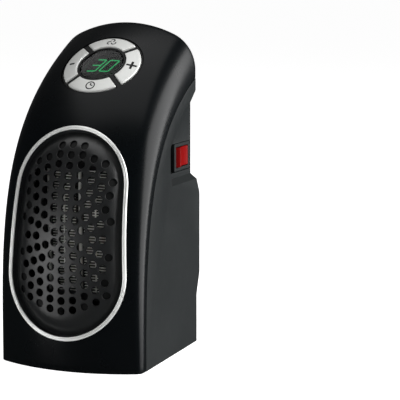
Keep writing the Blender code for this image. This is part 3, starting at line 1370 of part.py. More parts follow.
def make_release_button():
    half_width, half_height = BUTTON_WIDTH / 2, BUTTON_HEIGHT / 2
    low = (BUTTON_CENTRE_X - half_width, NOTCH_CENTRE_HEIGHT - half_height)
    high = (BUTTON_CENTRE_X + half_width, NOTCH_CENTRE_HEIGHT + half_height)
    outline = rounded_box(low, high, BUTTON_CORNER_RADIUS, BUTTON_CORNER_STEPS)
    front, back = NOTCH_FLOOR_Y + GAP, UPPER_BACK_Y - BUTTON_SINK
    button = front_prism("release_button", [outline], front, back, GRILLE_BLACK)
    foot_y = (PLATE_FRONT_Y + PLATE_BACK_Y) / 2
    join(button, button_box("button_foot", BUTTON_FOOT_WIDTH, BUTTON_FOOT_HEIGHT, foot_y, front + GAP))
    plate = button_box("button_plate", BUTTON_PLATE_WIDTH, BUTTON_PLATE_HEIGHT, PLATE_FRONT_Y, PLATE_BACK_Y)
    tab_x = BUTTON_CENTRE_X - BUTTON_PLATE_WIDTH / 2
    half = BUTTON_FOOT_HEIGHT / 2
    low = (tab_x, TAB_END_Y, NOTCH_CENTRE_HEIGHT - half)
    high = (tab_x + BUTTON_TAB_THICKNESS, foot_y, NOTCH_CENTRE_HEIGHT + half)
    join(button, join(plate, box("button_tab", low, high)))
    carry(pivot("button_slide", (BUTTON_CENTRE_X, UPPER_BACK_Y, NOTCH_CENTRE_HEIGHT)), button)
    start = tab_x + BUTTON_TAB_THICKNESS + GAP + SPRING_WIRE_RADIUS
    end = SEAT_X - GAP - SPRING_WIRE_RADIUS
    centre_y = PLATE_FRONT_Y - GAP - SPRING_RADIUS - SPRING_WIRE_RADIUS
    count = SPRING_TURNS * SPRING_TURN_POINTS
    points = []
    for k in range(count + 1):
        angle = 2 * math.pi * k / SPRING_TURN_POINTS
        across = centre_y + SPRING_RADIUS * math.cos(angle)
        up = NOTCH_CENTRE_HEIGHT + SPRING_RADIUS * math.sin(angle)
        points.append((start + (end - start) * k / count, across, up))
    tube("release_spring", points, SPRING_WIRE_RADIUS, STEEL, 0)


def make_screws():
    for name, centre, sink in screw_centres():
        profile = [
            (0, 0),
            (SCREW_HEAD_RADIUS * SCREW_CROWN_SHARE, -SCREW_HEAD_HEIGHT * SCREW_CROWN_DROP_SHARE),
            (SCREW_HEAD_RADIUS, -SCREW_HEAD_HEIGHT),
            (SCREW_SHANK_RADIUS, -SCREW_HEAD_HEIGHT),
            (SCREW_SHANK_RADIUS, -SCREW_LENGTH + SCREW_SHANK_RADIUS),
            (0, -SCREW_LENGTH),
        ]
        turned(name, profile, centre - Vector((0, sink, 0)), STEEL, SMALL_SIDES)


def fan_rod(name, low_y, high_y, radius, material=None, sides=CUP_SIDES):
    return y_rod(name, FAN_CENTRE, low_y, high_y, radius, material, sides)


def make_fan():
    inner = FAN_RADIUS + FAN_CLEARANCE
    ring_end = SHROUD_Y + SHROUD_LENGTH
    arm_y = ring_end - ARM_THICKNESS
    cup_radius = MOTOR_RADIUS + GAP + SHROUD_WALL
    shroud = fan_rod("fan_shroud", SHROUD_Y, ring_end, inner + SHROUD_WALL, INNER_PLASTIC)
    half_height = FAN_RADIUS + SHROUD_PLATE_LAP
    low = (-INNER_X + GAP, SHROUD_Y, FAN_HEIGHT - half_height)
    high = (INNER_X - GAP, SHROUD_Y + SHROUD_PLATE_THICKNESS, FAN_HEIGHT + half_height)
    join(shroud, box("shroud_plate", low, high))
    cut(shroud, fan_rod("shroud_bore", SHROUD_Y - OVERRUN, ring_end + OVERRUN, inner))
    for k in range(ARM_COUNT):
        turn = Matrix.Rotation(2 * math.pi * k / ARM_COUNT + math.pi / 2, 4, "Y")
        high = Vector((inner + SHROUD_WALL / 2, ARM_THICKNESS / 2, ARM_WIDTH / 2))
        arm = box(f"motor_arm_{k}", (0, -high.y, -high.z), high)
        arm.matrix_world = Matrix.Translation((0, arm_y + ARM_THICKNESS / 2, FAN_HEIGHT)) @ turn
        join(shroud, arm)
    cup_end = ring_end + MOTOR_CUP_LENGTH
    join(shroud, fan_rod("motor_cup", arm_y, cup_end, cup_radius, None, ROUND_SIDES))
    cut(shroud, fan_rod("motor_space", ring_end, cup_end + OVERRUN, MOTOR_RADIUS + GAP, None, ROUND_SIDES))
    nose_radius = MOTOR_NOSE_RADIUS + GAP
    cut(shroud, fan_rod("nose_space", SHROUD_Y, ring_end + OVERRUN, nose_radius, None, SMALL_SIDES))
    motor = fan_rod("fan_motor", MOTOR_Y, MOTOR_Y + MOTOR_LENGTH, MOTOR_RADIUS, STEEL, ROUND_SIDES)
    nose_y = MOTOR_Y - MOTOR_NOSE_LENGTH
    join(motor, fan_rod("motor_nose", nose_y, MOTOR_Y + GAP, MOTOR_NOSE_RADIUS, None, SMALL_SIDES))
    bearing_end = MOTOR_Y + SHAFT_BEARING_LENGTH
    bore = fan_rod("shaft_bearing", SHROUD_Y, bearing_end + GAP, SHAFT_RADIUS + GAP, None, SMALL_SIDES)
    cut(motor, bore)
    hub_y = SHROUD_Y + HUB_SETBACK
    impeller = fan_rod("fan_impeller", hub_y, hub_y + HUB_LENGTH, HUB_RADIUS, INNER_PLASTIC, ROUND_SIDES)
    middle_y = hub_y + HUB_LENGTH / 2
    for k in range(BLADE_COUNT):
        turn = Matrix.Rotation(2 * math.pi * k / BLADE_COUNT, 4, "Y") @ Matrix.Rotation(BLADE_PITCH, 4, "X")
        low = (HUB_RADIUS * BLADE_ROOT_SHARE, -BLADE_THICKNESS / 2, -BLADE_CHORD / 2)
        blade = box(f"blade_{k}", low, (FAN_RADIUS, BLADE_THICKNESS / 2, BLADE_CHORD / 2))
        blade.matrix_world = Matrix.Translation((0, middle_y, FAN_HEIGHT)) @ turn
        join(impeller, blade)
    cut(impeller, fan_rod("hub_bore", SHROUD_Y, BACK_Y, SHAFT_RADIUS + GAP, None, SMALL_SIDES))
    shaft = fan_rod("motor_shaft", hub_y, bearing_end, SHAFT_RADIUS, STEEL, SMALL_SIDES)
    carry(pivot("fan_axis", FAN_CENTRE), impeller, shaft)


def core_box(name, grow_x, grow_z, low_y, high_y, material=None):
    half_width, half_length = CORE_WIDTH / 2 + grow_x, CORE_LENGTH / 2 + grow_z
    low = (-half_width, low_y, CORE_HEIGHT - half_length)
    high = (half_width, high_y, CORE_HEIGHT + half_length)
    return box(name, low, high, material)


def bar_x(place):
    return place * (CORE_WIDTH - BAR_WIDTH) / 2


def make_heater_core():
    frame = core_box("heater_frame", FRAME_WALL, FRAME_WALL, FRAME_FRONT_Y, FRAME_BACK_Y, INNER_PLASTIC)
    half_height = CORE_LENGTH / 2 - FRAME_FLANGE_END_ROOM
    low = (-INNER_X + GAP, FRAME_BACK_Y - FRAME_FLANGE_THICKNESS, CORE_HEIGHT - half_height)
    high = (INNER_X - GAP, FRAME_BACK_Y, CORE_HEIGHT + half_height)
    join(frame, box("frame_flange", low, high))
    cut(frame, core_box("core_window", -FRAME_LIP, -FRAME_LIP, -BODY_DEPTH, BODY_DEPTH))
    cut(frame, core_box("core_space", GAP, GAP, CORE_Y - GAP, CORE_BACK_Y + GAP))
    low_z = CORE_HEIGHT - CORE_LENGTH / 2
    high_z = CORE_HEIGHT + CORE_LENGTH / 2
    tail_z = high_z + FRAME_WALL + TERMINAL_THICKNESS
    for word, place in zip(("left", "centre", "right"), BAR_PLACES):
        x = bar_x(place)
        half = BAR_WIDTH / 2
        bar = box(f"ptc_bar_{word}", (x - half, CORE_Y, low_z), (x + half, CORE_BACK_Y, high_z), ALUMINIUM)
        middle_y = (CORE_Y + CORE_BACK_Y) / 2
        tail = (TERMINAL_THICKNESS / 2, TERMINAL_WIDTH / 2)
        low, high = (x - tail[0], middle_y - tail[1]), (x + tail[0], middle_y + tail[1])
        join(bar, box(f"bar_tail_{word}", (*low, low_z + GAP), (*high, tail_z)))
        low, high = (low[0] - GAP, low[1] - GAP), (high[0] + GAP, high[1] + GAP)
        cut(frame, box(f"tail_slot_{word}", (*low, CORE_HEIGHT), (*high, tail_z + OVERRUN)))
    for word, place in (("left", -1), ("right", 1)):
        inner = BAR_WIDTH / 2 + GAP
        outer = (CORE_WIDTH - BAR_WIDTH) / 2 - BAR_WIDTH / 2 - GAP
        teeth = fin_outline(inner, outer, low_z, high_z)
        teeth = [(place * x, z) for x, z in teeth]
        front_prism(f"fin_pack_{word}", [teeth], CORE_Y, CORE_BACK_Y, ALUMINIUM)
    seat_z = CORE_HEIGHT + CORE_LENGTH / 2 + FRAME_WALL + GAP
    x = bar_x(1) / 2
    ends = [(x, (CORE_Y + CORE_BACK_Y) / 2, z) for z in (seat_z, seat_z + CUTOUT_THICKNESS)]
    rod("thermal_cutout", *ends, CUTOUT_RADIUS, STEEL)


def fin_outline(inner, outer, low_z, high_z):
    """X and Z round a spine with fins standing on it at an even pitch."""
    pitch = (high_z - low_z - FIN_THICKNESS) / (FIN_COUNT - 1)
    outline = [(inner, high_z), (inner, low_z)]
    for k in range(FIN_COUNT):
        z = low_z + pitch * k
        if k:
            outline.append((inner + FIN_SPINE, z))
        outline += [(outer, z), (outer, z + FIN_THICKNESS)]
        if k < FIN_COUNT - 1:
            outline.append((inner + FIN_SPINE, z + FIN_THICKNESS))
    return outline[:-1] + [(outer, high_z)]


def make_fan_duct():
    front, back = FRAME_BACK_Y + GAP, SHROUD_Y - GAP
    form = bmesh.new()
    loops = []
    for grow in (DUCT_WALL, 0.0):
        half_x, half_z = CORE_WIDTH / 2 + grow, CORE_LENGTH / 2 + grow
        radius = FAN_RADIUS + FAN_CLEARANCE + grow
        square, ring = [], []
        for k in range(DUCT_STEPS):
            angle = 2 * math.pi * (k + 0.5) / DUCT_STEPS
            c, s = math.cos(angle), math.sin(angle)
            reach = min(half_x / abs(c), half_z / abs(s))
            square.append(form.verts.new((reach * c, front, CORE_HEIGHT + reach * s)))
            ring.append(form.verts.new((radius * c, back, FAN_HEIGHT + radius * s)))
        loops.append((square, ring))
    (outer_square, outer_ring), (inner_square, inner_ring) = loops
    order = (outer_square, outer_ring, inner_ring, inner_square)
    for here, there in zip(order, order[1:] + order[:1]):
        for k in range(DUCT_STEPS):
            after = (k + 1) % DUCT_STEPS
            form.faces.new((here[k], here[after], there[after], there[k]))
    bmesh.ops.recalc_face_normals(form, faces=form.faces)
    from_bmesh("fan_duct", form, INNER_PLASTIC)


def board_x(share):
    return share * POWER_BOARD_WIDTH


def board_z(share):
    return POWER_BOARD_FOOT + share * (POWER_BOARD_TOP - POWER_BOARD_FOOT)


def make_power_board():
    half = POWER_BOARD_WIDTH / 2
    front = POWER_BOARD_Y - BOARD_THICKNESS
    box("power_board", (-half, front, POWER_BOARD_FOOT), (half, POWER_BOARD_Y, POWER_BOARD_TOP), BOARD_GREEN)
    parts = (
        ("relay", RELAY_SIZE, RELAY_PLACE_SHARES, COMPONENT_BLUE),
        ("capacitor", CAPACITOR_SIZE, CAPACITOR_PLACE_SHARES, FRAME_CREAM),
    )
    for name, (width, depth, height), shares, material in parts:
        x, z = board_x(shares[0]), board_z(shares[1])
        high_y = front - GAP
        low = (x - width / 2, high_y - depth, z - height / 2)
        box(name, low, (x + width / 2, high_y, z + height / 2), material)


def lead(name, ends, handles):
    points = []
    line = [Vector(p) for p in (ends[0], handles[0], handles[1], ends[1])]
    for k in range(LEAD_POINTS + 1):
        t = k / LEAD_POINTS
        weights = ((1 - t) ** 3, 3 * (1 - t) ** 2 * t, 3 * (1 - t) * t**2, t**3)
        points.append(sum((p * w for p, w in zip(line, weights)), Vector()))
    tube(name, points, LEAD_RADIUS, LEAD_WHITE, 1)


def make_leads():
    centre = switch_centre()
    terminal_x = POCKET_X + GAP - SWITCH_BODY_DEPTH - 2 * GAP - TERMINAL_LENGTH - LEAD_RADIUS
    behind = POWER_BOARD_Y + GAP + LEAD_RADIUS / 2
    for word, side, share in (("live", -1, LIVE_LEAD_SHARE), ("neutral", 1, NEUTRAL_LEAD_SHARE)):
        start = Vector((terminal_x, centre.y + side * TERMINAL_SPACING / 2, centre.z))
        end = Vector((board_x(SWITCH_LEAD_SHARE), behind, board_z(share)))
        bend = Vector((0, (end.y - start.y) / 2, 0))
        lead(f"{word}_lead", (start, end), (start + bend, end - bend))
    high_z = CORE_HEIGHT + CORE_LENGTH / 2
    tail_z = high_z + FRAME_WALL + TERMINAL_THICKNESS + GAP + LEAD_RADIUS / 2
    middle_y = (CORE_Y + CORE_BACK_Y) / 2
    ahead = POWER_BOARD_Y - BOARD_THICKNESS - GAP - LEAD_RADIUS / 2
    for word, place in (("left", -1), ("right", 1)):
        start = Vector((bar_x(place), middle_y, tail_z))
        end = Vector((bar_x(place), ahead, board_z(HEATER_LEAD_SHARE)))
        rise = Vector((0, 0, end.z - start.z))
        run = Vector((0, (end.y - start.y) / 2, 0))
        lead(f"heater_lead_{word}", (start, end), (start + rise, end - run))
    start = Vector((0, behind, board_z(MOTOR_LEAD_SHARE)))
    end = Vector((0, MOTOR_Y + MOTOR_LENGTH - MOTOR_TAIL_ROOM, FAN_HEIGHT + MOTOR_RADIUS + GAP))
    back, up = Vector((0, MOTOR_LEAD_BOW, 0)), Vector((0, 0, MOTOR_LEAD_BOW))
    lead("motor_lead", (start, end), (start + back, end + up))


def build():
    make_front_shell()
    make_side_housing()
    make_back_cover()
    make_trim_ring()
    make_front_grille()
    make_control_panel()
    make_rocker_switch()
    make_plug()
    make_release_button()
    make_screws()
    make_fan()
    make_fan_duct()
    make_heater_core()
    make_power_board()
    make_leads()


build()
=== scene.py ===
"""Looks of the plug-in fan heater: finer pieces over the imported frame, their finishes, and the studio.

Metres, +Z up and the front towards -Y. The origin is under the middle of the base. Right is +X.
"""

import json
import math
from contextlib import contextmanager

import bpy
import numpy as np
from mathutils import Matrix, Vector
from mathutils.geometry import delaunay_2d_cdt


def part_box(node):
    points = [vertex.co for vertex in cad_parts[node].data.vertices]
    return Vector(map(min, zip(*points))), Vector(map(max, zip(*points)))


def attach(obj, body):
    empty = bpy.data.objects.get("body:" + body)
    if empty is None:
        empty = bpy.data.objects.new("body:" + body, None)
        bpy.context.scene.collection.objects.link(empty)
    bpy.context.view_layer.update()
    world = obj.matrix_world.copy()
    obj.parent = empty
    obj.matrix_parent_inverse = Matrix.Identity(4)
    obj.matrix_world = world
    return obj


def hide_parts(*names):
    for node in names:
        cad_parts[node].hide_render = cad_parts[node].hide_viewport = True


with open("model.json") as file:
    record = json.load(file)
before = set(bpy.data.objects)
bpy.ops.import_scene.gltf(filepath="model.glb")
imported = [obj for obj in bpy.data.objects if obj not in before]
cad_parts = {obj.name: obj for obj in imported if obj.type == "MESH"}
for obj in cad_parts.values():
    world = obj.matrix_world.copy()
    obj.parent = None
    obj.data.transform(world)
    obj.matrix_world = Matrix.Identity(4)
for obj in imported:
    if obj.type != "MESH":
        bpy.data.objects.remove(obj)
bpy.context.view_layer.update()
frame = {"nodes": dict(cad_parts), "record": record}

# Body, from the frame
SHELL_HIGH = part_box("front_shell")[1]
COVER_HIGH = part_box("back_cover")[1]
HALF_WIDTH = SHELL_HIGH.x
BODY_HEIGHT = SHELL_HIGH.z
UPPER_BACK_Y = SHELL_HIGH.y
BULGE_Y = COVER_HIGH.y
BACK_Y = 0.04225
BODY_DEPTH = 2 * BACK_Y
WALL = 0.0022
GAP = 0.0003
OVERRUN = 0.004
INNER_X = HALF_WIDTH - WALL
COVER_X = INNER_X - GAP

# Curves of the front shell
SEAM_FOOT_SETBACK = 0.0150
SEAM_TOP_HEIGHT = BODY_HEIGHT - 0.0293
SEAM_LOW_SHARES = (0.822, 0.410)
SEAM_HIGH_SHARES = (0.744, 0.686)
CROWN_LOW_SHARES = (1.014, 0.5255)
CROWN_HIGH_SHARES = (0.884, 0.800)
FOOT_DOME_SHARE = 2.245
ARCH_DOME_SHARE = 1.684
FOOT_CORNER_RADIUS = 0.0042
ARCH_CORNER_RADIUS = 0.0209
CORNER_RISE_SHARE = 0.95
SHELL_ROWS = 84
CORNER_STEPS = 12
COVER_CORNER_STEPS = 16
CROWN_END_SHARE = 0.975
DOME_STEPS = 20
EDGE_EASE = 0.00045
EASE_STEPS = 4
EASE_ANGLE = 28
SEARCH_STEPS = 32
SLOPE_STEP = 0.0001

# Back of the body
BULGE_TOP_HEIGHT = 0.0932
BULGE_UPPER_HEIGHT = 0.0825
BULGE_LOWER_HEIGHT = 0.0381
BULGE_FOOT_HEIGHT = 0.0265
BULGE_CORNER_RADIUS = 0.0050
RECESS_X = HALF_WIDTH - 0.0031
POCKET_X = RECESS_X - 0.0021
RECESS_TOP_HEIGHT = 0.1385
RECESS_BEND_HEIGHT = 0.1215
RECESS_FRONT_HEIGHT = 0.1118
RECESS_FOOT_HEIGHT = 0.0945
RECESS_HEEL_HEIGHT = 0.0905
RECESS_BEND_Y = BACK_Y - 0.0284
RECESS_FRONT_Y = BACK_Y - 0.0366
RECESS_HEEL_Y = BACK_Y - 0.0349
RECESS_SLOPE = 0.0066
RECESS_HEEL_SLOPE = 0.0030
POCKET_LENGTH = 0.0268
POCKET_BACK_WALL = 0.0009
POCKET_WALL = 0.0015
SLOT_COUNT = 8
SLOT_PITCH = 0.0070
SLOT_HALF_WIDTH = 0.0025
SLOT_HEIGHTS = (0.0016, 0.0155)
SLOT_CORNER_RADIUS = 0.0016

# Chrome ring. Its section is outwards from the middle of the band and up from the body,
# and is narrowed in steps of 0.01 mm.
RING_HALF_WIDTH = HALF_WIDTH - 0.0068
RING_TAPER = 0.0019
RING_TOP_HALF_WIDTH = RING_HALF_WIDTH - RING_TAPER
RING_FOOT_HEIGHT = 0.0159
RING_TOP_HEIGHT = BODY_HEIGHT - 0.0506
RING_LOW_CENTRE = RING_FOOT_HEIGHT + RING_HALF_WIDTH
RING_HIGH_CENTRE = RING_TOP_HEIGHT - RING_TOP_HALF_WIDTH
RING_LEAN = math.asin(RING_TAPER / (RING_HIGH_CENTRE - RING_LOW_CENTRE))
RING_BAND_RADIUS = 0.00145
RING_WIDTH_SHARE = 0.72
RING_DECIMALS = 5
RING_SECTION = (
    (-0.00145, -0.00030),
    (-0.00145, 0.00008),
    (-0.00128, 0.00040),
    (-0.00098, 0.00052),
    (-0.00070, 0.00046),
    (-0.00054, 0.00022),
    (-0.00040, 0.00022),
    (-0.00024, 0.00050),
    (0.00010, 0.00066),
    (0.00060, 0.00068),
    (0.00105, 0.00052),
    (0.00136, 0.00024),
    (0.00145, -0.00010),
    (0.00145, -0.00030),
)

# Grille
SKIRT_ROOMS = (0.0002, 0.0005, 0.0018, 0.0024)
SKIRT_RISES = (0.0, 0.0021, 0.0021, 0.0)
GRILLE_DEPTH = 0.0027
GRILLE_RISE = 0.0032
GRILLE_RIM = 0.0036
GRILLE_SHOULDER = 0.0080
GRILLE_THICKNESS = 0.0016
GRILLE_LAP = 0.0012
GRILLE_FILL_STEP = 0.0017
HOLE_RADIUS = 0.0020
HOLE_EASE = 0.00018
HOLE_SIDES = 22
HOLE_FOOT_HEIGHT = 0.0314
HOLE_MIDDLE_COUNT = 17
HOLE_MIDDLE_HEIGHT = 0.0686
HOLE_MIDDLE_PITCH = 0.0052
HOLE_MIDDLE_COLUMNS = (3, 4)
HOLE_COLUMN_PITCH = 0.0063
HOLE_PINCH = 0.00145
HOLE_PINCH_ROWS = 0.5
HOLE_PINCH_SPREAD = 0.62
HOLE_FIRST_RISE = 0.0025
HOLE_ROW_PITCH = 0.0064
HOLE_ROW_TAPER = 0.00013
HOLE_COLUMN_RISE = 0.0035
HOLE_COLUMN_DIP = 0.0019
HOLE_DIP_ROWS = 4.4
HOLE_ROWS_ABOVE = (9, 7, 6, 4, 1)
HOLE_ROWS_BELOW = (7, 6, 5, 4, 1)
BLIND_HEIGHTS = (0.036, 0.037, 0.106, 0.107)
BLIND_ROOMS = (0.0147, 0.0112, 0.0112, 0.0160)
BLIND_LAP = 0.0001
BLIND_DEPTHS = (0.0009, 0.0014)

# Heater core
FIN_COUNT = 47
FIN_THICKNESS = 0.00038
FIN_PLATE = 0.0006
FIN_EDGE = 0.0012
BAR_RIDGE = 0.0002
BAR_TAPER = 0.0030
BAR_EDGE = 0.00015

# Control panel
PANEL_HEIGHT = BODY_HEIGHT - 0.0201
PANEL_RADIUS = 0.0221
PANEL_REACH = 0.013
PANEL_SINK = 0.0005
PANEL_THICKNESS = 0.0034
PANEL_EASE = 0.00018
PANEL_SIDES = 96
KEY_INNER_RADIUS = 0.0134
KEY_OUTER_RADIUS = 0.0210
KEY_MIDDLE_RADIUS = (KEY_INNER_RADIUS + KEY_OUTER_RADIUS) / 2
KEY_PROUD = 0.0003
KEY_THICKNESS = 0.0026
KEY_HALF_GAP = 0.0015
KEY_GAP = 0.0004
KEY_EASE = 0.0005
KEY_ANGLES = {"plus_key": 0, "speed_key": 90, "minus_key": 180, "timer_key": 270}
WINDOW_RADIUS = 0.0117
WINDOW_SIDES = 72
WINDOW_EASE = 0.0003
WINDOW_THICKNESS = 0.0012
WINDOW_SHARES = (0.0, 0.2, 0.4, 0.6, 0.8, 0.92)

# Lit digits, a seven-segment three and nought
DIGIT_WIDTH = 0.0050
DIGIT_HEIGHT = 0.0088
DIGIT_STROKE = 0.00052
DIGIT_SLANT = 0.42
DIGIT_STEP = 0.0072
DIGIT_START = -0.0055
DIGIT_DEPTHS = (0.0023, 0.0026)
SEGMENT_TIP_SHARE = 0.1
SEGMENT_SHOULDER_SHARE = 0.6
SEGMENTS = {
    "top": ((0, 2), (1, 2)),
    "upper_right": ((1, 2), (1, 1)),
    "lower_right": ((1, 1), (1, 0)),
    "bottom": ((1, 0), (0, 0)),
    "lower_left": ((0, 0), (0, 1)),
    "upper_left": ((0, 1), (0, 2)),
    "middle": ((0, 1), (1, 1)),
}
THREE = ("top", "upper_right", "lower_right", "bottom", "middle")
NOUGHT = ("top", "upper_right", "lower_right", "bottom", "lower_left", "upper_left")

# Printed signs on the keys
SIGN_LEVELS = (-0.00010, 0.00004)
SIGN_STROKE = 0.00065
MINUS_REACH = 0.0015
MINUS_STROKE = 0.0012
PLUS_REACH = 0.0028
PLUS_STROKE = 0.00124
BLADE_RADIUS = 0.00115
BLADE_OFFSET = 0.0014
BLADE_SWEEP = (-2.7, 1.2)
DIAL_RADIUS = 0.0023
DIAL_GAP = 0.02
HAND_HEIGHT = 0.0015
HAND_REACHES = (0.0003, 0.0013)

# Switch
SWITCH_LOW, SWITCH_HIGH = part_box("switch_body")
SWITCH_HEIGHT = (SWITCH_LOW.z + SWITCH_HIGH.z) / 2
SWITCH_Y = (SWITCH_LOW.y + SWITCH_HIGH.y) / 2
BARREL_HALF_LENGTH = 0.0095
BARREL_HALF_HEIGHT = 0.0065
BARREL_LAP = 0.0009
FLANGE_THICKNESS = 0.0018
ROCKER_RADIUS = 0.0086
ROCKER_HALF = 0.0052
ROCKER_TIP_RISE = 0.0046
ROCKER_DIP_RISE = 0.0034
ROCKER_KEEL = 0.0022
ROCKER_EDGE = 0.0006
ROCKER_END_STEPS = 8
ROCKER_TILT = math.radians(7)
ROCKER_AXIS_SINK = 0.0034
ROCKER_AXIS = Vector((POCKET_X + GAP + FLANGE_THICKNESS - ROCKER_AXIS_SINK, SWITCH_Y, SWITCH_HEIGHT))

# Plug and the cup it sits in
PLUG_LOW, PLUG_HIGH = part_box("plug_body")
PLUG_HEIGHT = (PLUG_LOW.z + PLUG_HIGH.z) / 2
PLUG_FACE_Y = PLUG_HIGH.y
PLUG_RADIUS = 0.0177
PLUG_NECK_RADIUS = 0.0138
PLUG_EDGE = 0.0004
PLUG_FLANGE_Y = UPPER_BACK_Y - 0.0026
PLUG_FLANGE_FRONT_Y = PLUG_FLANGE_Y - 0.0024
CUP_RADIUS = 0.0214
CUP_WALL = 0.0016
CUP_FLOOR_Y = UPPER_BACK_Y - 0.0053
CUP_FLOOR = 0.0018
RIB_OFFSET = 0.0017
RIB_REACH = 0.0010
RIB_HALF = 0.0008
RIB_START = 0.0012
RIB_END = 0.0100
KEYHOLE_REACH = 0.0098
KEYHOLE_RADIUS = 0.0030
KEYHOLE_HALF_SLOT = 0.0017
KEYHOLE_DEPTH = 0.0110
PIN_RADIUS = 0.0024
PIN_REACH = 0.0095
PIN_TIP_EASE = 0.0009
PIN_TIP_STEPS = 6
COLLAR_RADIUS = 0.0039
COLLAR_SINK = 0.0015
COLLAR_EDGE = 0.00022

# Release button and its notch
NOTCH_X = -0.0228
NOTCH_HEIGHT = 0.1194
NOTCH_HALF = 0.0109
NOTCH_FLOOR_Y = UPPER_BACK_Y - 0.0070
NOTCH_CORNER_RADIUS = 0.0045
TRAY_WALL = 0.0014
BUTTON_HALF_WIDTH = 0.00425
BUTTON_HALF_HEIGHT = 0.0099
BUTTON_CORNER_RADIUS = 0.0036
BUTTON_EDGE = 0.0009
BUTTON_X = -0.02885
STEM_HALF_WIDTH = 0.00225
STEM_HALF_HEIGHT = 0.0040
STEM_DEPTH = 0.0026

# Screws
SCREWS = ("upper_screw_left", "lower_screw_left", "upper_screw_right", "lower_screw_right")
SCREW_HEAD_RADIUS = 0.0028
SCREW_HEAD_HEIGHT = 0.0017
SCREW_CROWN = 0.001275
SCREW_SHANK_RADIUS = 0.0013
SCREW_SHANK_LENGTH = 0.0097
SCREW_POINT_LENGTH = 0.0013
SCREW_POINT_RADIUS = 0.0002
SCREW_EDGE = 0.00012
SCREW_CUP_WALL = 0.0014
SCREW_CUP_FLOOR = 0.0011
CROSS_HALF_LENGTH = 0.0016
CROSS_HALF_WIDTH = 0.00035
CROSS_DEPTH = 0.0009


# Modelling helpers
def clear_pick():
    bpy.ops.object.select_all(action="DESELECT")


def pick(piece):
    clear_pick()
    piece.select_set(True)
    bpy.context.view_layer.objects.active = piece


@contextmanager
def editing(piece):
    """Edit mode on one piece, with all of it selected."""
    pick(piece)
    bpy.ops.object.mode_set(mode="EDIT")
    bpy.ops.mesh.select_all(action="SELECT")
    yield
    bpy.ops.object.mode_set(mode="OBJECT")


def settle(piece, name):
    """Puts the piece's place into its mesh and names it."""
    pick(piece)
    bpy.ops.object.transform_apply(location=True, rotation=True, scale=True)
    piece.name = piece.data.name = name
    return piece


def from_faces(name, points, faces):
    mesh = bpy.data.meshes.new(name)
    mesh.from_pydata([tuple(p) for p in points], [], faces)
    piece = bpy.data.objects.new(name, mesh)
    bpy.context.scene.collection.objects.link(piece)
    return piece


def face_out(piece):
    """Merges doubles and turns every face outwards."""
    with editing(piece):
        bpy.ops.mesh.remove_doubles(threshold=GAP / 100)
        bpy.ops.mesh.normals_make_consistent(inside=False)
    return piece


def wall(low, high, count):
    """Quads between two rings of points, from the first index of each."""
    turns = [(k, (k + 1) % count) for k in range(count)]
    return [(low + here, low + there, high + there, high + here) for here, there in turns]


def solid_faces(count, levels, first=0):
    """Faces of a solid through stacked rings of points: the quads between them and a cap at each end."""
    last = first + (levels - 1) * count
    faces = [tuple(range(first, first + count)), tuple(range(last, last + count))]
    for low in range(first, last, count):
        faces += wall(low, low + count, count)
    return faces


def stacked(name, rings):
    """A closed solid through matching rings of points."""
    return face_out(from_faces(name, np.concatenate(rings), solid_faces(len(rings[0]), len(rings))))


def tapered(name, rings):
    """The same with its slanting sides made of triangles."""
    piece = stacked(name, rings)
    with editing(piece):
        bpy.ops.mesh.quads_convert_to_tris()
    return piece


def extruded(name, outline, place, low, high):
    """A closed outline of u, v extruded along the third axis of place from low to high."""
    return stacked(name, [[place @ Vector((u, v, w)) for u, v in outline] for w in (low, high)])


def axes(across, up, origin=(0, 0, 0)):
    across, up = Vector(across), Vector(up)
    turn = Matrix((across, up, across.cross(up))).transposed().to_4x4()
    return Matrix.Translation(Vector(origin)) @ turn


PLAN = axes((1, 0, 0), (0, 1, 0))
PROFILE = axes((0, 1, 0), (0, 0, 1))
ELEVATION = axes((-1, 0, 0), (0, 0, 1))


def front_prism(name, outline, low_y, high_y):
    """An outline in X and Z extruded between two values of Y."""
    return extruded(name, [(-x, z) for x, z in outline], ELEVATION, low_y, high_y)


def block(name, low, high):
    low, high = Vector(low), Vector(high)
    clear_pick()
    bpy.ops.mesh.primitive_cube_add(size=1, location=(low + high) / 2, scale=high - low)
    return settle(bpy.context.object, name)


def rod(name, start, end, radius, sides=64):
    start, end = Vector(start), Vector(end)
    turn = (end - start).to_track_quat("Z", "Y").to_euler()
    clear_pick()
    bpy.ops.mesh.primitive_cylinder_add(
        vertices=sides, radius=radius, depth=(end - start).length, location=(start + end) / 2, rotation=turn
    )
    return settle(bpy.context.object, name)


def y_rod(name, x, z, low_y, high_y, radius, sides=64):
    return rod(name, (x, low_y, z), (x, high_y, z), radius, sides)


def turned(name, profile, x, z, sides=64):
    """A closed solid turned round a line along Y; the profile is radius and Y."""
    return stacked(name, [[(u, y, v) for u, v in circle(radius, sides, (x, z))] for radius, y in profile])


def apply(piece, kind, **settings):
    pick(piece)
    modifier = piece.modifiers.new(kind.title(), kind)
    for name, value in settings.items():
        setattr(modifier, name, value)
    bpy.ops.object.modifier_apply(modifier=modifier.name)
    return piece


def boolean(piece, operation, tools):
    for tool in tools:
        apply(piece, "BOOLEAN", operation=operation, solver="EXACT", object=tool)
        bpy.data.objects.remove(tool)
    return piece


def cut(piece, *tools):
    return boolean(piece, "DIFFERENCE", tools)


def join(piece, *tools):
    return boolean(piece, "UNION", tools)


def keep_inside(piece, *tools):
    return boolean(piece, "INTERSECT", tools)


def copy_of(node):
    """A copy of a frame piece with its loose triangles merged."""
    piece = frame["nodes"][node].copy()
    piece.data = piece.data.copy()
    piece.name = f"{node}_shaped"
    bpy.context.scene.collection.objects.link(piece)
    with editing(piece):
        bpy.ops.mesh.remove_doubles(threshold=GAP / 1000)
    return piece


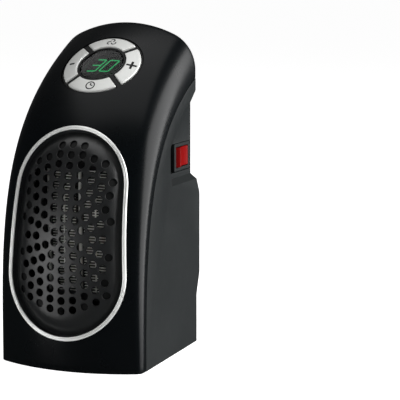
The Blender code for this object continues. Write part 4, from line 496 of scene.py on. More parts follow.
def ease_edges(piece, width, segments=2):
    """Rounds every sharp edge and keeps the flats flat."""
    pick(piece)
    bpy.ops.object.shade_smooth()
    rule = {"limit_method": "ANGLE", "angle_limit": math.radians(EASE_ANGLE), "harden_normals": True}
    return apply(piece, "BEVEL", width=width, segments=segments, use_clamp_overlap=True, **rule)


def smooth(piece, angle=35):
    pick(piece)
    bpy.ops.object.shade_smooth_by_angle(angle=math.radians(angle))
    return piece


def rectangle(low, high):
    return [low, (high[0], low[1]), high, (low[0], high[1])]


def rounded(corners, radii, steps):
    """A closed outline whose corners are arcs of the given radii."""
    outline = []
    count = len(corners)
    for k, radius in enumerate(radii):
        here = Vector(corners[k])
        before = (Vector(corners[k - 1]) - here).normalized()
        after = (Vector(corners[(k + 1) % count]) - here).normalized()
        half = before.angle(after) / 2
        if not radius:
            outline.append(tuple(here))
            continue
        centre = here + (before + after).normalized() * (radius / math.sin(half))
        start = here + before * (radius / math.tan(half)) - centre
        end = here + after * (radius / math.tan(half)) - centre
        sweep = start.angle_signed(end)
        outline += [tuple(centre + Matrix.Rotation(-sweep * i / steps, 2) @ start) for i in range(steps + 1)]
    return outline


def circle(radius, sides, centre=(0.0, 0.0)):
    angles = [2 * math.pi * k / sides for k in range(sides)]
    return [(centre[0] + radius * math.cos(a), centre[1] + radius * math.sin(a)) for a in angles]


def eased(width, steps=EASE_STEPS):
    """Steps along a rounded edge from its outer end, and how far each is sunk."""
    angles = np.linspace(0, math.pi / 2, steps + 1)
    return width * (1 - np.cos(angles)), width * (1 - np.sin(angles))


# The front surface as a loft between the side seams and the middle line
def body_share(shares):
    return (BACK_Y - shares[0] * BODY_DEPTH, shares[1] * BODY_HEIGHT)


SEAM = np.array([
    (SEAM_FOOT_SETBACK - BACK_Y, 0.0),
    body_share(SEAM_LOW_SHARES),
    body_share(SEAM_HIGH_SHARES),
    (UPPER_BACK_Y, SEAM_TOP_HEIGHT),
])
CROWN = np.array([
    (-BACK_Y, 0.0),
    body_share(CROWN_LOW_SHARES),
    body_share(CROWN_HIGH_SHARES),
    (UPPER_BACK_Y, BODY_HEIGHT),
])


def bezier(handles, t):
    t = np.asarray(t, float)[..., None]
    first, second, third, last = handles
    return first * (1 - t) ** 3 + 3 * second * (1 - t) ** 2 * t + 3 * third * (1 - t) * t**2 + last * t**3


def section(t):
    """Seam place, upward way, rise, dome radius and corner radius of the section at t."""
    t = np.asarray(t, float)
    seam = bezier(SEAM, t)
    up = bezier(CROWN, t) - seam
    rise = np.linalg.norm(up, axis=-1)
    dome = HALF_WIDTH * (FOOT_DOME_SHARE * (1 - t) + ARCH_DOME_SHARE * t)
    corner = np.minimum(FOOT_CORNER_RADIUS * (1 - t) + ARCH_CORNER_RADIUS * t, CORNER_RISE_SHARE * rise)
    return seam, up / rise[..., None], rise, dome, corner


def dome_parts(t, inset=0.0):
    """Height of the dome's centre, the dome's radius, the corner's radius and the corner's centre."""
    rise, dome, corner = (v - inset for v in section(t)[2:])
    centre = rise - dome
    corner_x = HALF_WIDTH - inset - corner
    return centre, dome, corner, corner_x, centre + np.sqrt((dome - corner) ** 2 - corner_x**2)


def section_rise(t, x):
    """Height over the seam at a distance from the middle."""
    centre, dome, corner, corner_x, corner_y = dome_parts(t)
    turn_x = dome * corner_x / (dome - corner)
    across = np.abs(x)
    on_dome = centre + np.sqrt(dome**2 - np.minimum(across, turn_x) ** 2)
    on_corner = corner_y + np.sqrt(np.maximum(corner**2 - (across - corner_x) ** 2, 0))
    return np.where(across <= turn_x, on_dome, on_corner)


def section_line(t, inset=0.0, foot=(0.0,), corner_steps=CORNER_STEPS):
    """Across and up from the left seam over the dome to the right seam, with heights at each foot."""
    centre, dome, corner, corner_x, corner_y = (float(v) for v in dome_parts(t, inset))
    turn = math.atan2(corner_y - centre, corner_x)
    right = [(HALF_WIDTH - inset, height) for height in foot]
    for a in np.linspace(0, turn, corner_steps + 1):
        right.append((corner_x + corner * math.cos(a), corner_y + corner * math.sin(a)))
    for a in np.linspace(turn, math.pi / 2, DOME_STEPS + 1)[1:]:
        right.append((dome * math.cos(a), centre + dome * math.sin(a)))
    return [(-x, y) for x, y in right[:-1]] + right[::-1]


def front_y(x, z):
    """Y of the body's front surface at arrays of X and Z."""
    x, z = np.broadcast_arrays(np.asarray(x, float), np.asarray(z, float))
    low, high = np.zeros(x.shape), np.ones(x.shape)
    for _ in range(SEARCH_STEPS):
        middle = (low + high) / 2
        seam, up = section(middle)[:2]
        rise = section_rise(middle, x)
        under = seam[..., 1] + up[..., 1] * rise < z
        low, high = np.where(under, middle, low), np.where(under, high, middle)
    return seam[..., 0] + up[..., 0] * rise


def front_surface(x, z):
    """Points and outward normals of the body's front at arrays of X and Z."""
    x, z = np.broadcast_arrays(np.asarray(x, float), np.asarray(z, float))
    slope_x = (front_y(x + SLOPE_STEP, z) - front_y(x - SLOPE_STEP, z)) / (2 * SLOPE_STEP)
    slope_z = (front_y(x, z + SLOPE_STEP) - front_y(x, z - SLOPE_STEP)) / (2 * SLOPE_STEP)
    normals = np.stack([slope_x, -np.ones(x.shape), slope_z], -1)
    normals /= np.linalg.norm(normals, axis=-1, keepdims=True)
    return np.stack([x, front_y(x, z), z], -1), normals


def skin_between(name, outer, inner):
    """A closed wall between two matching grids of points."""
    rows, columns = outer.shape[:2]
    points = np.concatenate([outer.reshape(-1, 3), inner.reshape(-1, 3)])

    def at(skin, i, j):
        return skin * rows * columns + i * columns + j

    faces = []
    for skin in (0, 1):
        for i in range(rows - 1):
            for j in range(columns - 1):
                faces.append((at(skin, i, j), at(skin, i, j + 1), at(skin, i + 1, j + 1), at(skin, i + 1, j)))
    rim = [(0, j) for j in range(columns)] + [(i, columns - 1) for i in range(1, rows)]
    rim += [(rows - 1, j) for j in range(columns - 2, -1, -1)] + [(i, 0) for i in range(rows - 2, 0, -1)]
    for here, there in zip(rim, rim[1:] + rim[:1]):
        faces.append((at(0, *here), at(0, *there), at(1, *there), at(1, *here)))
    return face_out(from_faces(name, points, faces))


# Front shell
def shell_rows():
    """Shares along the shell, with close rows at the floor and at the back, and how far each row is sunk."""
    foot_speed = np.linalg.norm(CROWN[1] - CROWN[0]) * 3
    back_speed = np.linalg.norm(CROWN[3] - CROWN[2]) * 3
    steps, sinks = eased(EDGE_EASE)
    foot = steps / foot_speed
    back = 1 - steps[::-1] / back_speed
    middle = np.linspace(foot[-1], back[0], SHELL_ROWS + 1)[1:-1]
    return np.concatenate([foot, middle, back]), np.concatenate([sinks, np.zeros(len(middle)), sinks[::-1]])


def shell_normals(grid):
    """Outward ways over the shell, made level at its floor, back and side edges."""
    normals = np.cross(np.gradient(grid, axis=1), np.gradient(grid, axis=0))
    normals /= np.linalg.norm(normals, axis=2, keepdims=True)
    normals *= -np.sign(normals[grid.shape[0] // 2, grid.shape[1] // 2, 1])
    ends = EASE_STEPS + 1
    for side in (slice(0, ends), slice(-ends, None)):
        normals[:, side] = (0, 0, 0)
        normals[:, side, 0] = np.sign(grid[:, side, 0])
    for rows, axis in ((slice(0, ends), 2), (slice(-ends, None), 1)):
        level = normals[rows].copy()
        level[:, :, axis] = 0
        normals[rows] = level / (level**2).sum(axis=2, keepdims=True)
    return normals


def make_front_shell():
    shares, row_sinks = shell_rows()
    steps, side_sinks = eased(EDGE_EASE)
    grid = []
    for t in shares:
        seam, up = section(t)[:2]
        grid.append([(x, seam[0] + up[0] * h, seam[1] + up[1] * h) for x, h in section_line(t, foot=steps)])
    grid = np.array(grid)
    normals = shell_normals(grid)
    column_sinks = np.zeros(grid.shape[1])
    column_sinks[:len(steps)] = side_sinks
    column_sinks[-len(steps):] = side_sinks[::-1]
    sinks = np.maximum(row_sinks[:, None], column_sinks[None, :])
    shell = skin_between("front_shell_skin", grid - normals * sinks[..., None], grid - normals * WALL)
    opening = front_prism("grille_opening", ring_line(-RING_BAND_RADIUS / 2), -BODY_DEPTH, 0.0)
    panel = circle(PANEL_RADIUS + GAP, PANEL_SIDES)
    cut(shell, opening, extruded("panel_opening", panel, PANEL, -PANEL_REACH, PANEL_REACH))
    return smooth(shell, 32)


# Plates with holes
def inside(spots, outline):
    """Which places lie inside a closed outline."""
    x, y = spots[:, 0], spots[:, 1]
    odd = np.zeros(len(spots), bool)
    for here, there in zip(outline, np.roll(outline, -1, axis=0)):
        spans = (here[1] > y) != (there[1] > y)
        if spans.any():
            odd ^= spans & (x < here[0] + (y - here[1]) * (there[0] - here[0]) / (there[1] - here[1]))
    return odd


def filled(loops, fill, creases):
    """Triangles between the first loop and the others, over the fill places and along the creases."""
    lines = loops + creases
    spots = np.concatenate(lines + [fill])
    edges = []
    for line, first in zip(lines, np.cumsum([0] + [len(line) for line in lines])):
        edges += [(first + k, first + (k + 1) % len(line)) for k in range(len(line))]
    faces, sources = delaunay_2d_cdt([Vector(spot) for spot in spots], edges, [], 0, GAP / 1000)[2:4]
    faces = np.array([[sources[k][0] for k in face] for face in faces])
    middles = spots[faces].mean(axis=1)
    keep = inside(middles, loops[0])
    for loop in loops[1:]:
        keep &= ~inside(middles, loop)
    return faces[keep]


def pierced_plate(name, edge, holes, lay, depths, ease, fill=(), creases=()):
    """A plate with eased holes, whose last faces are the walls of its edge and holes.

    edge and holes take how far they are drawn in, and lay puts places u, v at a depth.
    """
    front, back = depths
    steps, insets = eased(ease)
    layers = list(zip(insets, front + steps)) + [(0.0, back)]
    fill = np.array(fill, float).reshape(-1, 2)
    creases = list(creases)
    points, faces, firsts = [], [], []
    for inset, depth in layers:
        loops = [np.array(make(inset)) for make in [edge] + holes]
        firsts.append(sum(len(row) for row in points))
        spots = np.concatenate(loops + creases + [fill])
        points.append(lay(spots[:, 0], spots[:, 1], depth))
        if depth in depths:
            faces += [tuple(int(k) + firsts[-1] for k in face) for face in filled(loops, fill, creases)]
    counts = [len(loop) for loop in loops]
    starts = np.cumsum([0] + counts[:-1]).tolist()
    for upper, lower in zip(firsts, firsts[1:]):
        for start, count in zip(starts, counts):
            faces += wall(upper + start, lower + start, count)
    piece = from_faces(name, np.concatenate(points), faces)
    rims = {frozenset(face[:2]) for start, count in zip(starts, counts) for face in wall(start, start, count)}
    for seam in piece.data.edges:
        seam.use_edge_sharp = frozenset(seam.vertices) in rims
    with editing(piece):
        bpy.ops.mesh.delete_loose(use_verts=True, use_edges=True, use_faces=False)
    return face_out(piece)


# Ring and grille
def ring_line(grow, arc_steps=64, side_steps=20):
    """X and Z round the ring, grown outwards: a wide round foot, a narrower round top and leaning sides."""
    arcs = []
    for radius, centre, start, end in (
        (RING_TOP_HALF_WIDTH, RING_HIGH_CENTRE, RING_LEAN, math.pi - RING_LEAN),
        (RING_HALF_WIDTH, RING_LOW_CENTRE, math.pi - RING_LEAN, 2 * math.pi + RING_LEAN),
    ):
        angles = np.linspace(start, end, arc_steps + 1)
        arcs.append(np.stack([(radius + grow) * np.cos(angles), centre + (radius + grow) * np.sin(angles)], 1))
    high, low = arcs
    shares = np.linspace(0, 1, side_steps + 1)[1:-1, None]
    left = high[-1] + (low[0] - high[-1]) * shares
    right = low[-1] + (high[0] - low[-1]) * shares
    return np.concatenate([high, left, low, right])


def ring_room(x, z):
    """How far inside the ring's outer edge places lie."""
    across, up = np.abs(x), np.asarray(z, float) - RING_LOW_CENTRE
    length = RING_HIGH_CENTRE - RING_LOW_CENTRE
    along = up * math.cos(RING_LEAN) - across * math.sin(RING_LEAN)
    side = RING_HALF_WIDTH - across * math.cos(RING_LEAN) - up * math.sin(RING_LEAN)
    foot = RING_HALF_WIDTH - np.hypot(across, up)
    top = RING_TOP_HALF_WIDTH - np.hypot(across, up - length)
    return np.where(along < 0, foot, np.where(along > length * math.cos(RING_LEAN), top, side))


def make_ring():
    """A flat band with a fine groove near its inner edge, swept along the ring line on the body."""
    line = ring_line(-RING_BAND_RADIUS)
    surface, normals = front_surface(line[:, 0], line[:, 1])
    along = np.roll(surface, -1, axis=0) - np.roll(surface, 1, axis=0)
    side = np.cross(along, normals)
    side /= np.linalg.norm(side, axis=1, keepdims=True)
    rings, faces = [], []
    for reach, proud in RING_SECTION:
        outwards = RING_BAND_RADIUS - (RING_BAND_RADIUS - reach) * RING_WIDTH_SHARE
        rings.append(surface + side * round(outwards, RING_DECIMALS) + normals * proud)
    for k in range(len(rings)):
        faces += wall(k * len(line), (k + 1) % len(rings) * len(line), len(line))
    return smooth(face_out(from_faces("ring_band", np.concatenate(rings), faces)), 50)


def hole_centres():
    """X and Z of the holes: a straight middle column, and side columns that bow apart from the middle."""
    places = [(0.0, HOLE_FOOT_HEIGHT + HOLE_MIDDLE_PITCH * k) for k in range(HOLE_MIDDLE_COUNT)]
    sides = [(HOLE_MIDDLE_PITCH * column, HOLE_MIDDLE_HEIGHT) for column in HOLE_MIDDLE_COLUMNS]
    for half, counts in ((1, HOLE_ROWS_ABOVE), (-1, HOLE_ROWS_BELOW)):
        for column, count in enumerate(counts):
            for row in range(count):
                pinch = math.exp(-row / (HOLE_PINCH_ROWS + HOLE_PINCH_SPREAD * column))
                dip = math.exp(-row / HOLE_DIP_ROWS)
                rise = HOLE_FIRST_RISE + HOLE_ROW_PITCH * row - HOLE_ROW_TAPER * row**2
                rise += column * (HOLE_COLUMN_RISE - HOLE_COLUMN_DIP * dip)
                x = (column + 1) * (HOLE_COLUMN_PITCH - HOLE_PINCH * pinch)
                sides.append((x, HOLE_MIDDLE_HEIGHT + half * rise))
    return places + sides + [(-x, z) for x, z in sides]


def cushion(x, z):
    """How far the grille stands up from its deep rim, in its middle and in the skirt under the ring."""
    room = ring_room(x, z)
    reach = np.clip((room - GRILLE_RIM) / GRILLE_SHOULDER, 0, 1)
    return GRILLE_RISE * (1 - (1 - reach) ** 2) + np.interp(room, SKIRT_ROOMS, SKIRT_RISES)


def grille_points(x, z, depth):
    surface, normals = front_surface(x, z)
    return surface - normals * (depth - cushion(x, z))[..., None]


def grille_fill():
    """Places between the holes that carry the grille's curve."""
    across = np.arange(-HALF_WIDTH, HALF_WIDTH, GRILLE_FILL_STEP)
    x, z = (v.ravel() for v in np.meshgrid(across, np.arange(0, BODY_HEIGHT, GRILLE_FILL_STEP)))
    clear = ring_room(x, z) > SKIRT_ROOMS[-1] + GRILLE_FILL_STEP / 4
    for centre in hole_centres():
        clear &= np.hypot(x - centre[0], z - centre[1]) > HOLE_RADIUS + GRILLE_FILL_STEP / 2
    return np.stack([x[clear], z[clear]], 1)


def make_grille():
    def hole(centre):
        return lambda inset: circle(HOLE_RADIUS + inset, HOLE_SIDES, centre)

    def edge(inset):
        return ring_line(GRILLE_LAP - inset)

    holes = [hole(centre) for centre in hole_centres()]
    depths = (GRILLE_DEPTH, GRILLE_DEPTH + GRILLE_THICKNESS)
    creases = [ring_line(-room) for room in SKIRT_ROOMS]
    lay = grille_points
    plate = pierced_plate("outlet_grille", edge, holes, lay, depths, HOLE_EASE, grille_fill(), creases)
    return apply(smooth(plate, 40), "WEIGHTED_NORMAL", keep_sharp=True)


def make_blind_floors():
    """Floors that close the holes nearest the grille's rim a little below its face."""
    points, faces = [], []
    for x, z in hole_centres():
        if ring_room(x, z) > np.interp(z, BLIND_HEIGHTS, BLIND_ROOMS):
            continue
        faces += solid_faces(HOLE_SIDES, len(BLIND_DEPTHS), len(points))
        spots = np.array(circle(HOLE_RADIUS + BLIND_LAP, HOLE_SIDES, (x, z)))
        for depth in BLIND_DEPTHS:
            points += list(grille_points(spots[:, 0], spots[:, 1], GRILLE_DEPTH + depth))
    return smooth(face_out(from_faces("blind_floors", points, faces)), 40)


# Heater core behind the grille
def make_fins(name):
    """Thin fins standing on both sides of an upright plate."""
    low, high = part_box(name)
    middle = (low.x + high.x) / 2
    side = []
    for z in np.linspace(low.z, high.z - FIN_THICKNESS, FIN_COUNT):
        side += rectangle((FIN_PLATE / 2, z), (high.x - middle, z + FIN_THICKNESS))
    outline = [(middle + x, z) for x, z in side] + [(middle - x, z) for x, z in side[::-1]]
    return front_prism(f"{name}_strip", outline, low.y, high.y)


def make_bar(name):
    """A heater bar whose flanks draw in to a narrow ridge at the front."""
    bar = copy_of(name)
    low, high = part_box(name)
    middle = (low.x + high.x) / 2
    for side in (-1, 1):
        ridge, reach = middle + side * BAR_RIDGE, middle + side * (high.x - middle + GAP)
        wedge = [(ridge, low.y - GAP), (reach, low.y - GAP), (reach, low.y + BAR_TAPER)]
        cut(bar, extruded(f"{name}_flank", wedge, PLAN, low.z - GAP, high.z + GAP))
    return ease_edges(bar, BAR_EDGE)


# Control panel
PANEL_CENTRE, PANEL_NORMAL = (Vector(v) for v in front_surface(0.0, PANEL_HEIGHT))
PANEL_UP = PANEL_NORMAL.cross(Vector((1, 0, 0)))
PANEL = axes((1, 0, 0), PANEL_UP, PANEL_CENTRE)


def panel_points(across, up, out):
    """Places over the panel: across and up in its plane, and out from the body's own surface."""
    across, up, out = np.broadcast_arrays(*(np.asarray(v, float) for v in (across, up, out)))
    normal = np.array(PANEL_NORMAL)
    base = np.array(PANEL_CENTRE) + across[..., None] * (1, 0, 0) + up[..., None] * np.array(PANEL_UP)
    reach = np.zeros(across.shape)
    for _ in range(5):
        place = base + reach[..., None] * normal
        surface, normals = front_surface(place[..., 0], place[..., 2])
        reach -= ((place - surface) * normals).sum(-1) / (normals @ normal)
    return base + (reach + out)[..., None] * normal


def on_panel(spots, out):
    spots = np.array(spots)
    return panel_points(spots[:, 0], spots[:, 1], out)


def sector(angle, inner, outer, half_gap, steps=24):
    outline = []
    for radius, way in ((outer, 1), (inner, -1)):
        reach = math.pi / 4 - math.asin(half_gap / radius)
        for k in range(steps + 1):
            turn = math.radians(angle) + way * reach * (2 * k / steps - 1)
            outline.append((radius * math.cos(turn), radius * math.sin(turn)))
    return outline


def eased_line(length, steps):
    """Places along a length that crowd towards both eased ends."""
    ends = eased(KEY_EASE)[0]
    middle = np.linspace(KEY_EASE, length - KEY_EASE, steps + 1)[1:-1]
    return np.concatenate([ends, middle, length - ends[::-1]])


def into_ease(place, length):
    """How far a place lies in the eased end of a length, towards the middle."""
    reach = max(0.0, KEY_EASE - place, KEY_EASE - (length - place))
    return reach if place < length / 2 else -reach


def make_key(name, angle):
    """A key as a cushion over its quarter ring, with its rim rolled over and a skirt below."""
    width = KEY_OUTER_RADIUS - KEY_INNER_RADIUS
    length = KEY_MIDDLE_RADIUS * math.pi / 2 - 2 * KEY_HALF_GAP
    grid = []
    for row in eased_line(width, 8):
        for column in eased_line(length, 30):
            in_row, in_column = into_ease(row, width), into_ease(column, length)
            reach = math.hypot(in_row, in_column)
            pull = KEY_EASE / reach if reach > KEY_EASE else 1.0
            drop = KEY_EASE - math.sqrt(max(KEY_EASE**2 - min(reach, KEY_EASE) ** 2, 0.0))
            radius = KEY_INNER_RADIUS + row + in_row * (1 - pull)
            half = math.pi / 4 - math.asin(KEY_HALF_GAP / radius)
            turn = math.radians(angle) + half * (2 * (column + in_column * (1 - pull)) / length - 1)
            grid.append((radius * math.cos(turn), radius * math.sin(turn), KEY_PROUD - drop))
    across, up, out = np.array(grid).reshape(len(eased_line(width, 8)), -1, 3).transpose(2, 0, 1)
    bottom = panel_points(across, up, KEY_PROUD - KEY_THICKNESS)
    return smooth(skin_between(f"{name}_cap", panel_points(across, up, out), bottom), 40)


def make_bezel():
    def edge(inset):
        return circle(PANEL_RADIUS - inset, PANEL_SIDES)

    def window(inset):
        return circle(WINDOW_RADIUS + GAP + inset, WINDOW_SIDES)

    def hole(angle):
        def line(inset):
            inner, outer = KEY_INNER_RADIUS - KEY_GAP - inset, KEY_OUTER_RADIUS + KEY_GAP + inset
            return sector(angle, inner, outer, KEY_HALF_GAP - KEY_GAP - inset)
        return line

    def lay(across, up, depth):
        return panel_points(across, up, -depth)

    holes = [window] + [hole(angle) for angle in KEY_ANGLES.values()]
    depths = (PANEL_SINK, PANEL_SINK + PANEL_THICKNESS)
    return smooth(pierced_plate("keypad_bezel", edge, holes, lay, depths, PANEL_EASE))


def make_window():
    """The smoked window: a thin disc that follows the body, with an eased rim."""
    steps, sinks = eased(WINDOW_EASE)
    rows = [(WINDOW_RADIUS * share, 0.0) for share in WINDOW_SHARES]
    rows += list(zip(WINDOW_RADIUS - steps[::-1], sinks[::-1]))
    top = [on_panel(circle(radius, WINDOW_SIDES), -PANEL_SINK - sink) for radius, sink in rows]
    bottom = [on_panel(circle(radius, WINDOW_SIDES), -PANEL_SINK - WINDOW_THICKNESS) for radius, _ in rows]
    return smooth(stacked("smoked_window", bottom + top[::-1]))


def segment_outline(ends):
    """A bar between two corners of a digit, with pointed ends and a small gap at each."""
    start, end = (Vector((x * DIGIT_WIDTH, y * DIGIT_HEIGHT / 2)) for x, y in ends)
    along = (end - start).normalized()
    side = Vector((-along.y, along.x)) * DIGIT_STROKE / 2
    tip = along * DIGIT_STROKE * SEGMENT_TIP_SHARE
    shoulder = along * DIGIT_STROKE * SEGMENT_SHOULDER_SHARE
    near, far = start + shoulder, end - shoulder
    return [start + tip, near - side, far - side, end - tip, far + side, near + side]


def make_digits():
    points, faces = [], []
    for k, lit in enumerate((THREE, NOUGHT)):
        for word in lit:
            outline = segment_outline(SEGMENTS[word])
            faces += solid_faces(len(outline), len(DIGIT_DEPTHS), len(points))
            for depth in DIGIT_DEPTHS:
                for x, y in outline:
                    up = y - DIGIT_HEIGHT / 2
                    points.append((DIGIT_START + k * DIGIT_STEP + x + DIGIT_SLANT * up, up, -depth))
    points = np.array(points)
    return face_out(from_faces("lit_digits", on_panel(points, points[:, 2]), faces))


# Signs on the keys
def make_sign(name, strokes, thick=SIGN_STROKE):
    """Thin printed lines laid over a key. Each stroke is a row of places, across and up."""
    points, faces = [], []
    for line in strokes:
        along = np.gradient(line, axis=0)
        along /= np.linalg.norm(along, axis=1, keepdims=True)
        side = np.stack([-along[:, 1], along[:, 0]], 1) * thick / 2
        outline = np.concatenate([line - side, (line + side)[::-1]])
        first, count = len(points), len(outline)
        for level in SIGN_LEVELS:
            points += [(u, v, KEY_PROUD + level) for u, v in outline]
        faces += wall(first, first + count, count)
        for low in (first, first + count):
            high = low + count - 1
            faces += [(low + k, low + k + 1, high - k - 1, high - k) for k in range(len(line) - 1)]
    points = np.array(points)
    return face_out(from_faces(name, on_panel(points, points[:, 2]), faces))


def bar(start, end, steps=6):
    """A straight stroke."""
    return np.linspace(start, end, steps)


def bow(centre, radius, start, end, steps=28):
    """A round stroke."""
    angles = np.linspace(start, end, steps)
    return np.stack([centre[0] + radius * np.cos(angles), centre[1] + radius * np.sin(angles)], 1)


def make_signs():
    """The signs by the key that each is printed on: minus, plus, a fan and a clock."""
    middle = KEY_MIDDLE_RADIUS
    minus = [bar((-middle - MINUS_REACH, 0), (-middle + MINUS_REACH, 0))]
    plus = [bar((middle - PLUS_REACH, 0), (middle + PLUS_REACH, 0))]
    plus += [bar((middle, way * PLUS_STROKE / 2), (middle, way * PLUS_REACH)) for way in (-1, 1)]
    blades = []
    for k in range(3):
        angle = math.pi / 2 + 2 * math.pi * k / 3
        place = (BLADE_OFFSET * math.cos(angle), middle + BLADE_OFFSET * math.sin(angle))
        blades.append(bow(place, BLADE_RADIUS, *(angle + sweep for sweep in BLADE_SWEEP)))
    clock = [bow((0, -middle), DIAL_RADIUS, 0.0, 2 * math.pi - DIAL_GAP)]
    clock += [bar((0, -middle), (0, HAND_HEIGHT - middle)), bar(*((reach, -middle) for reach in HAND_REACHES))]
    return {
        "minus_key": make_sign("minus_sign", minus, MINUS_STROKE),
        "plus_key": make_sign("plus_sign", plus, PLUS_STROKE),
        "speed_key": make_sign("fan_sign", blades),
        "timer_key": make_sign("clock_sign", clock),
    }


# Side housing
def back_line(steps=8):
    corners = [
        (UPPER_BACK_Y, SEAM_TOP_HEIGHT),
        (UPPER_BACK_Y, BULGE_TOP_HEIGHT),
        (BULGE_Y, BULGE_UPPER_HEIGHT),
        (BULGE_Y, BULGE_LOWER_HEIGHT),
        (BACK_Y, BULGE_FOOT_HEIGHT),
        (BACK_Y, 0),
        (-BODY_DEPTH, 0),
        (-BODY_DEPTH, SEAM_TOP_HEIGHT),
    ]
    return rounded(corners, [0] + [BULGE_CORNER_RADIUS] * 4 + [0, 0, 0], steps)[:-2]


def side_outline(steps=60):
    seam, up = section(np.linspace(0, 1, steps + 1))[:2]
    return [(y, max(z, 0.0)) for y, z in (seam - up * GAP).tolist()] + back_line()[1:]


def recess_outline(inset):
    back = BACK_Y + OVERRUN
    slope = RECESS_SLOPE / 2 * inset
    heel = RECESS_HEEL_SLOPE * inset
    return [
        (back, RECESS_HEEL_HEIGHT + heel),
        (RECESS_HEEL_Y + 2 * slope, RECESS_HEEL_HEIGHT + heel),
        (RECESS_FRONT_Y + 2 * slope, RECESS_FOOT_HEIGHT + heel),
        (RECESS_FRONT_Y + 2 * slope, RECESS_FRONT_HEIGHT - slope),
        (RECESS_BEND_Y + 2 * slope, RECESS_BEND_HEIGHT - slope),
        (UPPER_BACK_Y, RECESS_TOP_HEIGHT - 2 * slope),
        (back, RECESS_TOP_HEIGHT + OVERRUN - 2 * slope),
    ]


def recess_tool(name, depth_in):
    depth = HALF_WIDTH - RECESS_X
    share = (depth + OVERRUN) / depth
    inner_x = RECESS_X - depth_in
    rings = ((inner_x, recess_outline(1.0)), (inner_x + depth * share, recess_outline(1 - share)))
    return tapered(name, [[(x, y, z) for y, z in outline] for x, outline in rings])


def pocket_corners(grow):
    back = UPPER_BACK_Y - POCKET_BACK_WALL
    half = (SWITCH_HIGH.z - SWITCH_LOW.z) / 2 + GAP + grow
    low = (POCKET_X - grow, back - POCKET_LENGTH - grow, SWITCH_HEIGHT - half)
    return low, (HALF_WIDTH + OVERRUN, back + grow, SWITCH_HEIGHT + half)


def barrel_corners(grow):
    half_length, half_height = BARREL_HALF_LENGTH + grow, BARREL_HALF_HEIGHT + grow
    low = (SWITCH_LOW.x - grow, SWITCH_Y - half_length, SWITCH_HEIGHT - half_height)
    return low, (POCKET_X + GAP + BARREL_LAP, SWITCH_Y + half_length, SWITCH_HEIGHT + half_height)


def notch_prism(name):
    low = (-HALF_WIDTH - OVERRUN, NOTCH_HEIGHT - NOTCH_HALF)
    corners = rectangle(low, (NOTCH_X, NOTCH_HEIGHT + NOTCH_HALF))
    outline = rounded(corners, [0, NOTCH_CORNER_RADIUS, NOTCH_CORNER_RADIUS, 0], 8)
    return front_prism(name, outline, NOTCH_FLOOR_Y, BACK_Y + OVERRUN)


def base_outline():
    """X and Y of the base plate inside the front shell and between the side walls."""
    foot = section(0.0)[0][0]
    bow_line = section_line(0.0, WALL + GAP, corner_steps=COVER_CORNER_STEPS)
    front = [(x, foot - h) for x, h in bow_line if h > GAP]
    joint = foot + OVERRUN
    wide = INNER_X + WALL / 2
    right = [(INNER_X - GAP, joint), (wide, joint + WALL), (wide, BACK_Y - WALL - GAP)]
    return front + right + [(-x, y) for x, y in right[::-1]]


def make_side_housing():
    housing = extruded("side_walls", side_outline(), PROFILE, -HALF_WIDTH, HALF_WIDTH)
    cavity = block("cavity", (-INNER_X, -BODY_DEPTH, -OVERRUN), (INNER_X, BODY_DEPTH, BODY_HEIGHT))
    cut(cavity, recess_tool("recess_backing", WALL), block("pocket_backing", *pocket_corners(POCKET_WALL)))
    cut(housing, cavity)
    join(housing, extruded("base_plate", base_outline(), PLAN, 0.0, WALL))
    cut(housing, recess_tool("recess_space", 0.0), block("pocket_space", *pocket_corners(0.0)))
    cut(housing, block("switch_hole", *barrel_corners(GAP)), notch_prism("notch_in_side"))
    return ease_edges(housing, EDGE_EASE, 3)


# Back cover
def cover_outline(y):
    run = bezier(CROWN, 1.0) - bezier(CROWN, CROWN_END_SHARE)
    slope = run[1] / run[0]
    height = SEAM_TOP_HEIGHT - slope * (UPPER_BACK_Y - y)
    over = section_line(1.0, WALL * math.hypot(1, slope) + GAP, corner_steps=COVER_CORNER_STEPS)
    waist = COVER_X - (HALF_WIDTH - RECESS_X)
    right = [
        (COVER_X, RECESS_TOP_HEIGHT + GAP),
        (waist, RECESS_TOP_HEIGHT - RECESS_SLOPE + GAP),
        (waist, RECESS_HEEL_HEIGHT + RECESS_HEEL_SLOPE - GAP),
        (COVER_X, RECESS_HEEL_HEIGHT - GAP),
        (COVER_X, GAP),
    ]
    return [(x, height + h) for x, h in over] + right + [(-COVER_X, GAP)]


def screw_place(name):
    low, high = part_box(name)
    return (low.x + high.x) / 2, high.y, (low.z + high.z) / 2


def set_screw_cup(cover, name):
    x, head_y, z = screw_place(name)
    seat = head_y - SCREW_HEAD_HEIGHT - GAP
    face = UPPER_BACK_Y if name.startswith("upper") else BULGE_Y
    cup_y = seat - SCREW_CUP_FLOOR
    join(cover, y_rod("screw_cup", x, z, cup_y, face - WALL / 2, SCREW_HEAD_RADIUS + SCREW_CUP_WALL, 32))
    cut(cover, y_rod("screw_sink", x, z, seat, BULGE_Y + OVERRUN, SCREW_HEAD_RADIUS + GAP, 32))
    cut(cover, y_rod("screw_pass", x, z, seat - OVERRUN, BACK_Y, SCREW_SHANK_RADIUS + GAP, 24))


def cut_slots(cover):
    for k in range(SLOT_COUNT):
        x = SLOT_PITCH * (k - (SLOT_COUNT - 1) / 2)
        corners = rectangle((x - SLOT_HALF_WIDTH, SLOT_HEIGHTS[0]), (x + SLOT_HALF_WIDTH, SLOT_HEIGHTS[1]))
        slot = rounded(corners, [0, 0, SLOT_CORNER_RADIUS, SLOT_CORNER_RADIUS], 6)
        cut(cover, front_prism("slot", slot, BACK_Y - OVERRUN, BACK_Y + OVERRUN))


